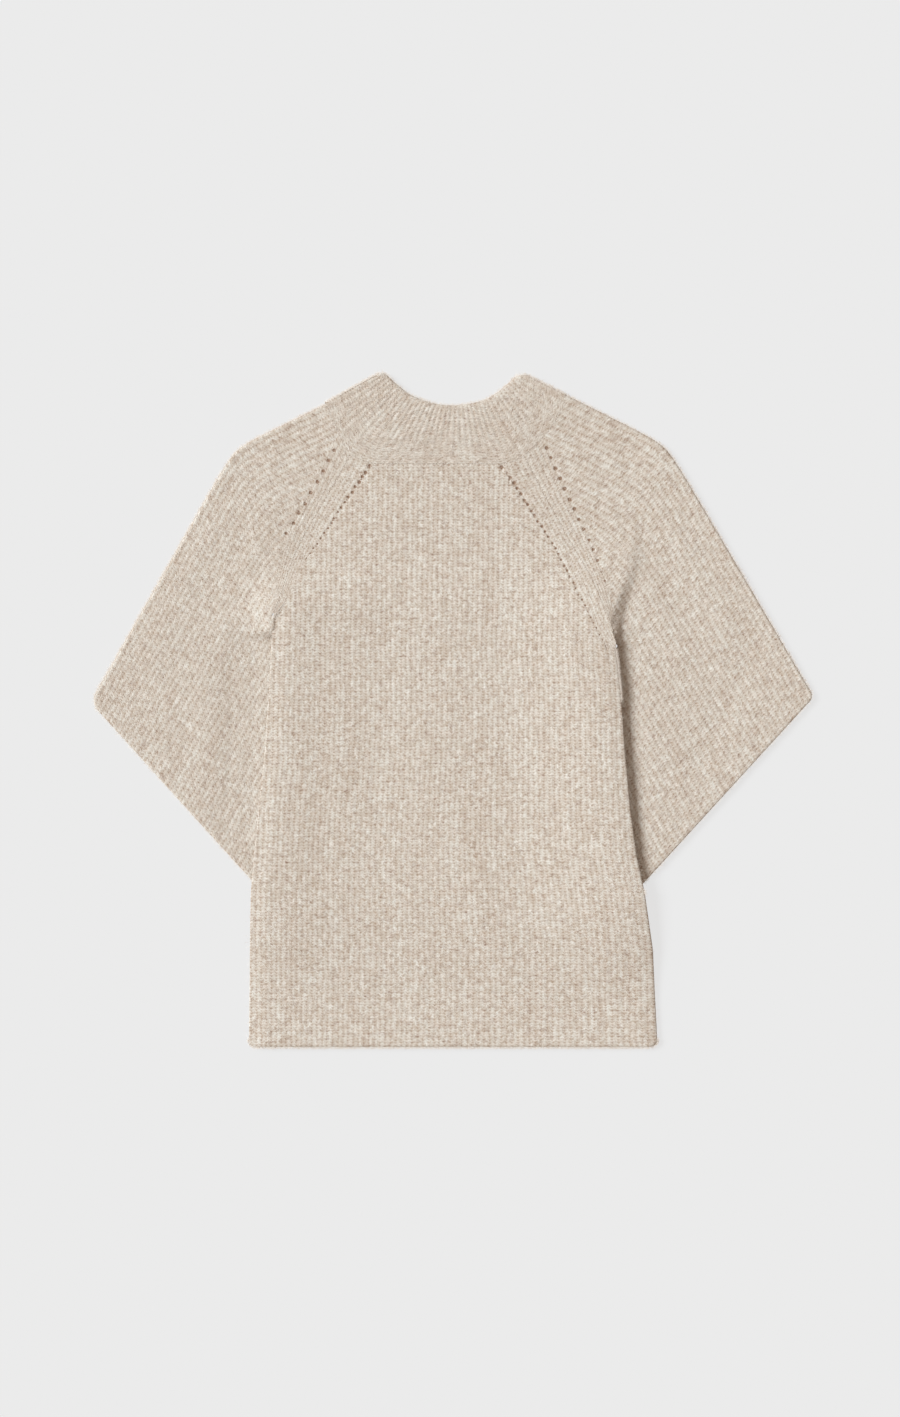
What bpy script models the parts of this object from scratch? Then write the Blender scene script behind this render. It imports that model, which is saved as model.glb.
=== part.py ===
"""A short mohair cardigan in rib knit, laid flat and face down: wide raglan sleeves folded along
the shoulder line, a deep rib collar, and a front opening that lies underneath.

X runs across the cardigan, Y from hem to collar, and Z up from the surface it lies on. Sizes are
in millimetres and turned to metres when a mesh is made. Every piece is a knitted wall: its outer
points rise into ribs, and its inside stays plain.
"""

import math

import bmesh
import bpy
from mathutils import Vector

MM = 0.001

# The knit
WALL = 2.3                # wall between two ribs
RIB_RISE = 0.9            # how far a rib stands over it
LOWER_WALL = 2.9          # the lower layer, pressed flat by the surface
LAYER_GAP = 0.5           # air between two layers
SEAM_GAP = 0.4            # between two pieces along a seam
EDGE_DROP = 1.1           # an edge rolls down by this much
EYELET_DEPTH = 1.5        # dent of an eyelet in the outer points
BAND_RIBS = 4             # ribs that run along each raglan
FADE_PITCH = 4.4          # where they are closer together than this they flatten
BACK_RIBS = 73

# Where the layers lie
UPPER = LOWER_WALL + LAYER_GAP          # underside of the upper layer
SLEEVE_TOP = UPPER + WALL + RIB_RISE
BODY_LIFT = SLEEVE_TOP + 0.5            # the body rises this much over the folded sleeves
BACK_LIFT = BODY_LIFT + 0.9             # the back a little more than the fronts below it
LIFT_RIBS = 8                           # ribs from each side edge that lie on a sleeve
RAMP_RIBS = 6                           # ribs over which the body comes down again
ARMPIT_RISE = 85.0                      # the back's lift fades out this far above an armpit
FRONT_RISE = 25.0                       # and the fronts' lift
ARMPIT_TUCK = (12.0, 30.0)              # the sleeve tucks under the body over this stretch

# Side edges of the body. y, x of the left edge, x of the right edge
BODY_EDGES = (
    (290.0, -195.0, 178.5),
    (108.0, -198.0, 178.0),
    (72.0, -200.8, 178.0),
    (22.0, -203.5, 183.5),
    (-49.0, -208.5, 188.7),
    (-109.0, -215.0, 194.5),
    (-157.0, -219.8, 200.5),
    (-200.0, -223.5, 210.0),
    (-264.0, -224.8, 219.5),
    (-371.5, -226.1, 225.0),
)
HEM_Y = -371.5
HEM_SPREAD = 0.11         # the ribs open out more towards the right corner of the hem

# Rows of the body from armpit to hem. y at the left edge, at the end of the left lift, at the
# start of the right lift, at the right edge, share of the lift
BODY_ROWS = (
    (82.0, 82.0, 56.0, 56.0, 1.0),
    (20.0, 20.0, 20.0, 20.0, 1.0),
    (-60.0, -60.0, -60.0, -60.0, 1.0),
    (-199.0, -236.0, -236.0, -203.0, 1.0),
    (-234.0, -270.0, -270.0, -238.0, 0.0),
    (HEM_Y, HEM_Y, HEM_Y, HEM_Y, 0.0),
)
YOKE_ROWS = (0.0, 0.5)    # rows above the armpits, as shares of the way down to them

# Seam between the collar and the back and sleeves, from left to right. x, y
COLLAR_SEAM = (
    (-141.4, 339.1),
    (-132.6, 319.3),
    (-123.8, 299.5),
    (-116.8, 287.5),
    (-113.5, 282.5),
    (-93.0, 273.6),
    (-70.0, 272.4),
    (-20.0, 272.2),
    (40.0, 272.2),
    (60.0, 273.2),
    (77.6, 281.2),
    (81.5, 284.6),
    (93.0, 296.2),
    (108.4, 313.7),
    (119.5, 333.6),
    (123.8, 351.2),
)
# The same seam along the fronts, hidden below. x, y
FRONT_SEAM = (
    (-141.4, 339.1),
    (-132.6, 319.3),
    (-123.8, 299.5),
    (-116.8, 287.5),
    (-113.5, 282.5),
    (-88.0, 250.0),
    (-50.0, 232.0),
    (-10.0, 228.0),
    (30.0, 233.0),
    (58.0, 252.0),
    (77.6, 281.2),
    (81.5, 284.6),
    (93.0, 296.2),
    (108.4, 313.7),
    (119.5, 333.6),
    (123.8, 351.2),
)
# Top edge of the collar at the back, and at the front below it. x, y
COLLAR_TOP = (
    (-77.6, 372.1),
    (-62.0, 357.5),
    (-45.0, 346.0),
    (-20.0, 338.3),
    (2.0, 336.9),
    (30.0, 340.5),
    (50.0, 350.5),
    (62.0, 361.0),
    (73.0, 371.0),
)
COLLAR_FRONT_TOP = (
    (-77.6, 372.1),
    (-58.0, 330.0),
    (-32.0, 303.0),
    (-8.0, 297.0),
    (18.0, 303.0),
    (48.0, 330.0),
    (73.0, 371.0),
)
COLLAR_WALL = 3.3
COLLAR_RIBS = 40
COLLAR_RISE = 0.6
COLLAR_ROWS = (0.0, 0.06, 0.5, 0.93, 1.0)      # shares of the way from seam to top edge
COLLAR_ROLL = 0.35                             # both its edges round off by this share of it
COLLAR_FOLD = 3.0                              # how far a side fold bulges
COLLAR_FOLD_ANGLES = (55.0, 0.0, -55.0)
FRONT_STEPS = 14                               # sections along each front half of the collar

FRONT_BAND = 26.0         # width of a front band
FRONT_DROP = 0.6          # the fronts stay this far below the collar's seam
FRONT_HEM = 2.0           # and end this far above the hem of the back
OPENING = ((229.0, -10.0), (HEM_Y, -1.0))      # y, x at the top and foot of the front opening
FRONT_COLUMNS = tuple(range(0, 58, 2))  # half ribs from the side edge, as on the back
FRONT_COARSE = (0, 2, 4, 6, 8, 10, 12, 14, 20, 29)      # those that go down to the hem
BAND_COLUMNS = 4

# Each side of the cardigan. The raglan seam runs up from the armpit, the ribs of the back and of
# the sleeve turn along it at back_band and sleeve_band, and the sleeve ends below the body at
# underarm: these are lists of x, y. The shoulder is the corner of the sleeve's fold, cuff_reach
# the length of the sleeve from there along the fold and along the underarm.
SIDES = {
    "left": {
        "out": -1.0,
        "raglan": (
            (-197.7, 108.6),
            (-190.9, 127.5),
            (-179.9, 159.8),
            (-165.6, 192.0),
            (-148.0, 222.0),
            (-128.5, 255.0),
            (-113.5, 282.5),
        ),
        "back_band": (
            (-198.2, 102.5),
            (-184.5, 122.0),
            (-173.3, 146.6),
            (-162.3, 167.5),
            (-142.5, 197.8),
            (-124.9, 225.8),
            (-105.1, 254.4),
            (-93.0, 273.6),
        ),
        "sleeve_band": (
            (-126.5, 306.0),
            (-140.5, 277.0),
            (-155.0, 247.5),
            (-170.0, 217.5),
            (-184.0, 192.0),
            (-193.0, 150.0),
            (-201.5, 104.5),
        ),
        "underarm": (
            (-186.0, 30.0),
            (-175.0, -44.0),
            (-180.0, -130.0),
            (-189.0, -204.0),
        ),
        "band_columns": 40,
        "shoulder": (-241.6, 290.5),
        "cuff_reach": (308.5, 313.0),
        "fold_slope": 0.315,
        "ribs": 51,
    },
    "right": {
        "out": 1.0,
        "raglan": (
            (178.0, 74.5),
            (166.7, 110.3),
            (150.2, 148.8),
            (127.1, 189.5),
            (113.3, 213.7),
            (99.6, 238.5),
            (77.6, 281.2),
        ),
        "back_band": (
            (177.9, 68.0),
            (158.0, 88.0),
            (142.5, 120.2),
            (128.2, 148.8),
            (117.2, 168.6),
            (98.5, 200.5),
            (82.0, 226.9),
            (64.4, 256.0),
            (57.0, 272.9),
        ),
        "sleeve_band": (
            (97.0, 300.5),
            (107.0, 277.0),
            (119.0, 250.0),
            (135.0, 215.0),
            (153.0, 177.0),
            (167.5, 141.0),
            (176.0, 108.0),
            (182.0, 70.0),
        ),
        "underarm": (
            (174.0, 20.0),
            (163.0, -44.0),
            (170.0, -130.0),
            (180.0, -204.0),
        ),
        "band_columns": 48,
        "shoulder": (236.9, 294.0),
        "cuff_reach": (309.0, 312.0),
        "fold_slope": 0.300,
        "ribs": 46,
    },
}
SHOULDER_TURN = math.radians(43.0)      # mean slope of the shoulder fold below the level
SHOULDER_RADIUS = 14.0                  # rounding of the fold at the shoulder
WALE_RADIUS = 40.0                      # and of the ribs well inside it
WALE_LAG = 28.0                         # they turn this much later than the fold
WALE_DEPTH = 90.0                       # from this far inside the fold
CUFF_CORNER = 18.0                      # length of the rounded corner at the cuff
SLEEVE_ROWS = (0.0, 0.035, 0.14, 0.26, 0.36, 0.5, 0.72, 1.0)      # shares of a rib's length
SLEEVE_LIFTS = (0.8, 0.15, 0.0, 0.0, 0.0, 0.0, 0.0, 0.0)  # share of the raglan's lift, by row
LOWEST_FOLD = 0.9                       # underside of the fold's edge where it meets the surface
SLOT_COLUMN = 2                         # the two layers part from here on
OVER_STEP = 6                           # half ribs between the columns of the upper underside
FOOT_STEP = 8                           # and of the cuff's edge in the lower layer
BACK_STEP = 4                           # and of the back's underside
SEAM_SAMPLES = 60

OATMEAL = (0.62, 0.55, 0.47, 1.0)
OATMEAL_BAND = (0.60, 0.53, 0.45, 1.0)


class Curve:
    """A smooth line through a few points, read by share of its length or by x."""

    def __init__(self, points, steps=10):
        ends = [points[0], *points, points[-1]]
        self.points = []
        for before, start, stop, after in zip(ends, ends[1:], ends[2:], ends[3:]):
            for step in range(steps):
                self.points.append(between(before, start, stop, after, step / steps))
        self.points.append(tuple(points[-1]))
        self.by_x = sorted(self.points)
        self.by_length = [(0.0, *self.points[0])]
        for start, stop in zip(self.points, self.points[1:]):
            self.by_length.append((self.by_length[-1][0] + math.dist(start, stop), *stop))
        self.length = self.by_length[-1][0]

    def y_at(self, x):
        return read(self.by_x, x)[0]

    def beside(self, share, offset=0.0):
        """The point at this share of the length, moved this far to the right of the line."""
        wanted = min(max(share, 0.0), 1.0) * self.length
        x, y = read(self.by_length, wanted)
        ahead = read(self.by_length, wanted + 1.0)
        behind = read(self.by_length, wanted - 1.0)
        run, rise = ahead[0] - behind[0], ahead[1] - behind[1]
        span = math.hypot(run, rise)
        return x + offset * rise / span, y - offset * run / span

    def share_of(self, point):
        """The share of the length at which the line comes nearest to a point."""
        nearest = min(self.by_length, key=lambda row: math.dist(row[1:], point))
        return nearest[0] / self.length


def between(before, start, stop, after, share):
    """A point of the smooth stretch from start to stop."""
    squared = share * share
    cubed = squared * share
    weights = (
        (-cubed + 2 * squared - share) / 2,
        (3 * cubed - 5 * squared + 2) / 2,
        (-3 * cubed + 4 * squared + share) / 2,
        (cubed - squared) / 2,
    )
    corners = (before, start, stop, after)
    return tuple(sum(w * c[axis] for w, c in zip(weights, corners)) for axis in (0, 1))


def read(rows, value):
    """Linear reading of a table by its first column, which rises or falls all the way."""
    if rows[0][0] > rows[-1][0]:
        rows = rows[::-1]
    value = min(max(value, rows[0][0]), rows[-1][0])
    for low, high in zip(rows, rows[1:]):
        if value <= high[0]:
            break
    share = (value - low[0]) / max(high[0] - low[0], 1e-9)
    return [mix(a, b, share) for a, b in zip(low[1:], high[1:])]


def mix(a, b, share):
    return a + (b - a) * share


def mix_points(a, b, share):
    return tuple(mix(p, q, share) for p, q in zip(a, b))


def ease(share):
    share = min(max(share, 0.0), 1.0)
    return share * share * (3 - 2 * share)


class Skin:
    """Points and faces of one piece, which close into a solid."""

    def __init__(self, name, material):
        self.name = name
        self.material = material
        self.points = []
        self.faces = []

    def add(self, x, y, z):
        self.points.append(Vector((x, y, z)))
        return len(self.points) - 1

    def face(self, corners):
        kept = [c for i, c in enumerate(corners) if c != corners[i - 1]]
        if len(kept) > 2:
            self.faces.append(kept)

    def wall(self, chain, other):
        for a, b, c, d in zip(chain, chain[1:], other[1:], other):
            self.face([a, b, c, d])

    def grid(self, rows):
        for first, second in zip(rows, rows[1:]):
            self.wall(first, second)

    def plain(self, first, first_marks, inner, last, last_marks):
        """A plain side with few columns, between a fine chain at its head and one at its foot."""
        for column in range(len(first_marks) - 1):
            edge = first[first_marks[column]:first_marks[column + 1] + 1]
            for row in inner:
                self.face([*edge, row[column + 1], row[column]])
                edge = [row[column], row[column + 1]]
            foot = last[last_marks[column]:last_marks[column + 1] + 1]
            self.face([*edge, *foot[::-1]])

    def layer(self, level, chain, marks, rows, coarse):
        """A plain side at one level. It returns its head, its foot and its two side columns."""
        def put(spot):
            return self.add(spot[0], spot[1], level(spot[2]))

        head = [put(spot) for spot in chain]
        foot = [put(spot) for spot in rows[-1][coarse[0]:]]
        inner = [[put(row[c]) for c in coarse] for row in rows[1:-1]]
        self.plain(
            head, [marks[c] for c in coarse], inner, foot, [c - coarse[0] for c in coarse]
        )
        near = [head[0], *(row[0] for row in inner), foot[0]]
        far = [head[-1], *(row[-1] for row in inner), foot[-1]]
        return head, foot, near, far

    def flat(self, z, head, foot, near, far):
        """A level side as one face. It returns its head, its foot and its two side columns."""
        head, foot = [[self.add(x, y, z) for x, y, _ in spots] for spots in (head, foot)]
        near, far = [[self.add(x, y, z) for x, y, _ in spots[1:-1]] for spots in (near, far)]
        self.face([*head, *far, *foot[::-1], *near[::-1]])
        near = [head[0], *near, foot[0]]
        far = [head[-1], *far, foot[-1]]
        return head, foot, near, far


def make(skin, centre):
    """The skin as an object in metres, measured from the middle of the whole cardigan."""
    shape = bmesh.new()
    corners = [shape.verts.new((point - centre) * MM) for point in skin.points]
    for face in skin.faces:
        shape.faces.new([corners[i] for i in face])
    loose = [corner for corner in shape.verts if not corner.link_faces]
    bmesh.ops.delete(shape, geom=loose, context="VERTS")
    bmesh.ops.recalc_face_normals(shape, faces=shape.faces[:])
    mesh = bpy.data.meshes.new(skin.name)
    shape.to_mesh(mesh)
    shape.free()
    mesh.shade_smooth()
    mesh.set_sharp_from_angle(angle=math.radians(50))
    mesh.materials.append(skin.material)
    obj = bpy.data.objects.new(skin.name, mesh)
    bpy.context.scene.collection.objects.link(obj)
    return obj


def knit(name, colour):
    material = bpy.data.materials.new(name)
    material.use_nodes = True
    shader = material.node_tree.nodes["Principled BSDF"]
    shader.inputs["Base Color"].default_value = colour
    shader.inputs["Roughness"].default_value = 0.95
    shader.inputs["Metallic"].default_value = 0.0
    return material


def rib(column, last):
    """Height of the outer points over the wall: odd columns are ribs, edges roll down."""
    if column in (0, last):
        return -EDGE_DROP
    return RIB_RISE if column % 2 else 0.0


def fashioned_band(skin, starts, raglan, seam, settings, level):
    """The ribs along a raglan. A row runs from each start point to the raglan seam.

    A start is (point index, (x, y, lift)), and so is every entry of the rows that it returns.
    The row at the collar follows the collar's seam. The settings are "from_collar", whether the
    starts begin there, "gap", how far right of the raglan the rows end, and "lift", which gives
    the lift of an end.
    """
    across = 2 * BAND_RIBS
    lengths = [0.0]
    for before, after in zip(starts, starts[1:]):
        lengths.append(lengths[-1] + math.dist(before[1][:2], after[1][:2]))
    rows = []
    for start, length in zip(starts, lengths):
        share = length / lengths[-1]
        if settings["from_collar"]:
            share = 1 - share
        end = raglan.beside(share, settings["gap"])
        lift = settings["lift"](*end)
        at_collar = share == 1.0
        row = [start]
        for step in range(1, across + 1):
            x, y, here = mix_points(start[1], (*end, lift), step / across)
            if at_collar:
                shares = [seam.share_of(point) for point in (start[1][:2], end)]
                x, y = seam.beside(mix(*shares, step / across), SEAM_GAP / 2)
            width = math.dist(start[1][:2], end)
            rise = RIB_RISE * ease(width / (FADE_PITCH * BAND_RIBS))
            height = WALL + (rise if step % 2 else 0.0)
            if step == across:
                height = WALL - EDGE_DROP / 2
            row.append((skin.add(x, y, level(here) + height), (x, y, here)))
        rows.append(row)
    for first, second in zip(rows, rows[1:]):
        skin.wall([entry[0] for entry in first], [entry[0] for entry in second])
    return rows


def outline(starts, bands):
    """The head of a piece as one chain, and where each column meets it."""
    chain = []
    marks = {}
    column = 0
    for first, rows in bands:
        for column in range(column, first):
            marks[column] = len(chain)
            chain.append(starts[column])
        chain += rows[0][:-1]
        for step, row in enumerate(rows):
            marks[first + step] = len(chain)
            chain.append(row[-1])
        chain += rows[-1][-2::-1]
        column = first + len(rows)
    for column in range(column, len(starts)):
        marks[column] = len(chain)
        chain.append(starts[column])
    return chain, marks


# Body: the back and the fronts share these places

def body_x(share, y):
    left, right = read(BODY_EDGES, y)
    spread = HEM_SPREAD * min(max(y / HEM_Y, 0.0), 1.0)
    return mix(left, right, share - spread * share * (1 - share))


def body_share(x, y):
    left, right = read(BODY_EDGES, y)
    return (x - left) / (right - left)


def across_lifts(share, places):
    """Values given at both edges and where both lifts end, read at a share of the width."""
    inset = LIFT_RIBS / BACK_RIBS
    return read(list(zip((0.0, inset, 1 - inset, 1.0), places)), share)[0]


def lift_across(share):
    ribs_in = min(share, 1 - share) * BACK_RIBS
    return 1 - ease((ribs_in - LIFT_RIBS) / RAMP_RIBS)


def lift_up(share, y, rise=ARMPIT_RISE):
    armpit = SIDES["left" if share < 0.5 else "right"]["raglan"][0]
    return 1 - ease((y - armpit[1]) / rise)


def body_column(across, top, hem_y=HEM_Y, rise=ARMPIT_RISE):
    """The x, y and lift of each row of the body, from a top point down to the hem."""
    share = body_share(across(0.0), 0.0)
    first = across_lifts(share, BODY_ROWS[0][:4])
    rows = []
    for step in YOKE_ROWS:
        y = mix(top[1], first, step)
        x = top[0] if step == 0 else across(y)
        rows.append((x, y, lift_across(share) * lift_up(share, y, rise)))
    for row in BODY_ROWS:
        y = max(across_lifts(share, row[:4]), hem_y)
        rows.append((across(y), y, lift_across(share) * row[4]))
    return rows


def crossing(curve, across):
    """Where a column of the body meets a line that slants across it."""
    y = curve.points[0][1]
    for _ in range(15):
        y = curve.y_at(across(y))
    return across(y), y


def back(material):
    skin = Skin("back", material)
    last = 2 * BACK_RIBS
    seam = Curve(COLLAR_SEAM)
    left, right = SIDES["left"], SIDES["right"]
    first_end, second_end = left["band_columns"], last - right["band_columns"]

    def level(lift):
        return UPPER + lift * BACK_LIFT

    columns = []
    for c in range(last + 1):
        def across(y, share=c / last):
            return body_x(share, y)

        if c < first_end:
            top = crossing(Curve(left["back_band"]), across)
        elif c > second_end:
            top = crossing(Curve(right["back_band"]), across)
        else:
            x = across(COLLAR_SEAM[5][1])
            top = x, seam.y_at(x) - SEAM_GAP / 2
        columns.append(body_column(across, top))
    rows = [[column[i] for column in columns] for i in range(len(columns[0]))]

    grid = []
    for i, row in enumerate(rows):
        ids = []
        for c, (x, y, lift) in enumerate(row):
            height = WALL + rib(c, last)
            if i == len(rows) - 1 and 0 < c < last:
                height -= EDGE_DROP
            if i == 0 and 0 < c < last:
                eyelet = c % 2 == 0 and not first_end <= c <= second_end
                height -= EYELET_DEPTH if eyelet else EDGE_DROP / 2
            ids.append(skin.add(x, y, level(lift) + height))
        grid.append(ids)
    skin.grid(grid)

    starts = list(zip(grid[0], rows[0]))
    bands = []
    for side, first, final in (("left", 0, first_end), ("right", second_end, last)):
        out = SIDES[side]["out"]
        settings = {
            "from_collar": side == "right",
            "gap": -out * SEAM_GAP / 2,
            "lift": lambda x, y: lift_across(body_share(x, y)) * lift_up(body_share(x, y), y),
        }
        raglan = Curve(SIDES[side]["raglan"])
        band = fashioned_band(skin, starts[first:final + 1], raglan, seam, settings, level)
        bands.append((first, band))
    chain, marks = outline(starts, bands)
    marks[0] = 0
    marks[last] = len(chain) - 1

    coarse = sorted({*range(0, BACK_RIBS, BACK_STEP), *range(last, BACK_RIBS, -BACK_STEP)})
    head, foot, near, far = skin.layer(level, [spot for _, spot in chain], marks, rows, coarse)
    skin.wall([point for point, _ in chain], head)
    skin.wall(grid[-1], foot)
    skin.wall([row[0] for row in grid], near)
    skin.wall([row[-1] for row in grid], far)
    return skin


def front_piece(name, material, side, lines, coarse, wall):
    """A plain piece of the front, between the first and the last of some lines down it."""
    skin = Skin(name, material)
    out = SIDES[side]["out"]
    raglan = Curve(SIDES[side]["raglan"]).points
    neck = [p for p in Curve(FRONT_SEAM).points if out * (raglan[-1][0] - p[0]) > 1]
    head_line = Curve(sorted([*raglan, *neck]), steps=1)
    columns = []
    for across in lines:
        x, y = crossing(head_line, across)
        columns.append(body_column(across, (x, y - FRONT_DROP), HEM_Y + FRONT_HEM, FRONT_RISE))
    rows = [[column[i] for column in columns] for i in range(len(columns[0]))]
    marks = {c: c for c in coarse}
    upper = skin.layer(lambda lift: wall + lift * BODY_LIFT, rows[0], marks, rows, coarse)
    lower = skin.layer(lambda lift: lift * BODY_LIFT, rows[0], marks, rows, coarse)
    for one, other in zip(upper, lower):
        skin.wall(one, other)
    return skin


def fronts(material, band_material):
    pieces = []
    for side in ("left", "right"):
        out = SIDES[side]["out"]

        def rib_line(column, out=out):
            share = column / (2 * BACK_RIBS)
            inset = out * SEAM_GAP * 2 * (column == 0)
            return lambda y: body_x(share if out < 0 else 1 - share, y) - inset

        def band_line(reach, out=out):
            return lambda y: read(OPENING, y)[0] + out * reach

        panel = [rib_line(c) for c in FRONT_COLUMNS] + [band_line(FRONT_BAND + SEAM_GAP)]
        edges = (FRONT_BAND, SEAM_GAP / 2)
        band = [band_line(mix(*edges, i / BAND_COLUMNS)) for i in range(BAND_COLUMNS + 1)]
        coarse = FRONT_COARSE
        if side == "right":
            panel.reverse()
            coarse = [len(panel) - 1 - c for c in reversed(coarse)]
        pieces.append(front_piece("front_" + side, material, side, panel, coarse, LOWER_WALL))
        pieces.append(front_piece(
            "front_band_" + side, band_material, side, band, (0, BAND_COLUMNS), LOWER_WALL + 0.2,
        ))
    return pieces


class SleeveShape:
    """Places on a sleeve, as reach along it from the shoulder and depth inside the fold."""

    def __init__(self, side):
        self.side = side
        self.last = 2 * side["ribs"]
        self.armpit_y = side["raglan"][0][1]
        out = side["out"]
        self.along = (out * math.cos(SHOULDER_TURN), -math.sin(SHOULDER_TURN))
        self.inward = (-out * math.sin(SHOULDER_TURN), -math.cos(SHOULDER_TURN))
        seam = Curve(COLLAR_SEAM)
        corner = side["sleeve_band"][0]
        steps = range(SEAM_SAMPLES + 1)
        beside = [seam.beside(i / SEAM_SAMPLES, SEAM_GAP / 2) for i in steps]
        head = [p for p in beside if p[1] > corner[1] and out * p[0] > 0]
        band = Curve(side["sleeve_band"]).points
        under = Curve([side["sleeve_band"][-1], *side["underarm"]]).points
        start = [self.spot(p)[::-1] for p in [*head, *band, *under]]
        self.start_line = sorted(start)
        self.ends = [self.reaches(c) for c in range(self.last + 1)]
        heads = [self.point(start, self.wale(c, start)) for c, (start, _) in enumerate(self.ends)]
        self.heads = heads
        foot = side["sleeve_band"][-1]
        self.band_from = max(c for c in range(0, self.last, 2) if heads[c][1] > corner[1])
        self.band_to = max(c for c in range(0, self.last, 2) if heads[c][1] > foot[1])

    def spot(self, point):
        """Reach and depth of an x, y."""
        dx = point[0] - self.side["shoulder"][0]
        dy = point[1] - self.side["shoulder"][1]
        return (
            dx * self.along[0] + dy * self.along[1],
            dx * self.inward[0] + dy * self.inward[1],
        )

    def point(self, reach, depth):
        corner = self.side["shoulder"]
        return (
            corner[0] + reach * self.along[0] + depth * self.inward[0],
            corner[1] + reach * self.along[1] + depth * self.inward[1],
        )

    def bend(self, reach, share):
        """The fold's own bend at share 0, and the later, softer bend of the ribs at 1."""
        end = self.side["cuff_reach"][0]
        centre = WALE_LAG * share
        radius = mix(SHOULDER_RADIUS, WALE_RADIUS, share)
        level = math.hypot(end, SHOULDER_RADIUS) - math.hypot(end - centre, radius)
        return self.side["fold_slope"] * (math.hypot(reach - centre, radius) + level)

    def full_depth(self):
        reach, depth = self.spot(self.side["underarm"][-1])
        return depth - self.bend(reach, 1.0)

    def wale(self, column, reach):
        """Depth of a rib line at a reach."""
        inside = self.full_depth() * column / self.last
        return inside + self.bend(reach, min(inside / WALE_DEPTH, 1.0))

    def reaches(self, column):
        """The reach at which a rib line starts, and at which it ends at the cuff."""
        low, high = -200.0, self.side["cuff_reach"][1]
        for _ in range(40):
            middle = (low + high) / 2
            if middle < read(self.start_line, self.wale(column, middle))[0]:
                low = middle
            else:
                high = middle
        stop = mix(*self.side["cuff_reach"], column / self.last)
        inside = self.full_depth() * column / self.last
        if inside < CUFF_CORNER:
            stop -= CUFF_CORNER * (1 - math.sqrt(1 - (1 - inside / CUFF_CORNER) ** 2))
        return low, stop

    def lift(self, y):
        """Share of the lift beside the raglan: none at the armpit, most a little above it."""
        above = y - self.armpit_y
        tuck = ease((above - ARMPIT_TUCK[0]) / (ARMPIT_TUCK[1] - ARMPIT_TUCK[0]))
        return tuck * (1 - ease(above / ARMPIT_RISE))


def sleeve(side, material):
    skin = Skin("sleeve_" + side, material)
    settings = SIDES[side]
    shape = SleeveShape(settings)
    last = shape.last
    seam = Curve(COLLAR_SEAM)

    def level(lift):
        return UPPER + lift * BODY_LIFT

    rows = []
    for i, share in enumerate(SLEEVE_ROWS):
        row = []
        for c, (start, stop) in enumerate(shape.ends):
            reach = mix(start, stop, share)
            x, y = shape.point(reach, shape.wale(c, reach))
            lift = 0.0
            if shape.band_from <= c <= shape.band_to:
                lift = shape.lift(shape.heads[c][1]) * SLEEVE_LIFTS[i]
            row.append((x, y, lift))
        rows.append(row)

    grid = []
    for i, row in enumerate(rows):
        ids = []
        for c, (x, y, lift) in enumerate(row):
            height = WALL + rib(c, last)
            if c == 0:
                height = SLEEVE_TOP / 2 - UPPER
            elif c == 1:
                height = WALL
            elif i == len(rows) - 1:
                height -= EDGE_DROP
            elif i == 0 and shape.band_from < c < shape.band_to:
                height -= EYELET_DEPTH * (c % 2 == 0)
            elif i == 0:
                height -= EDGE_DROP / 2
            ids.append(skin.add(x, y, level(lift) + max(height, LOWEST_FOLD - UPPER * (c == 0))))
        grid.append(ids)
    skin.grid(grid)

    starts = list(zip(grid[0], rows[0]))
    band = fashioned_band(
        skin, starts[shape.band_from:shape.band_to + 1], Curve(settings["raglan"]), seam,
        {
            "from_collar": True,
            "gap": settings["out"] * SEAM_GAP / 2,
            "lift": lambda x, y: shape.lift(y),
        },
        level,
    )
    chain, marks = outline(starts, [(shape.band_from, band)])

    slot = SLOT_COLUMN
    base = slot - 1
    spots = [spot for _, spot in chain]
    coarse = sorted({slot, *range(slot + OVER_STEP, last, OVER_STEP), last})
    over = skin.layer(level, spots[slot:], {c: marks[c] - slot for c in coarse}, rows, coarse)
    foot_columns = [base, *range(slot, FOOT_STEP + 1), *range(FOOT_STEP + 4, last, FOOT_STEP), last]
    lower = []
    for z, first in ((LOWER_WALL, slot), (0.0, base)):
        lower.append(skin.flat(
            z,
            spots[first:],
            [rows[-1][c] for c in foot_columns if c >= first],
            [row[first] for row in rows],
            [row[last] for row in rows],
        ))
    under, floor = lower
    outer = [point for point, _ in chain]
    skin.wall(outer[slot:], over[0])
    skin.wall(grid[-1][slot:], over[1])
    skin.wall([row[last] for row in grid], over[3])
    skin.wall(under[0], floor[0][1:])
    skin.wall(under[1], floor[1][1:])
    skin.wall(under[3], floor[3])
    skin.wall(over[2], under[2])
    skin.wall([row[0] for row in grid], floor[2])
    for index, top in ((0, outer[:3]), (1, grid[-1][:3])):
        edge = floor[index]
        skin.face([*top, over[index][0], under[index][0], edge[1], edge[0]])
    return skin


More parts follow.
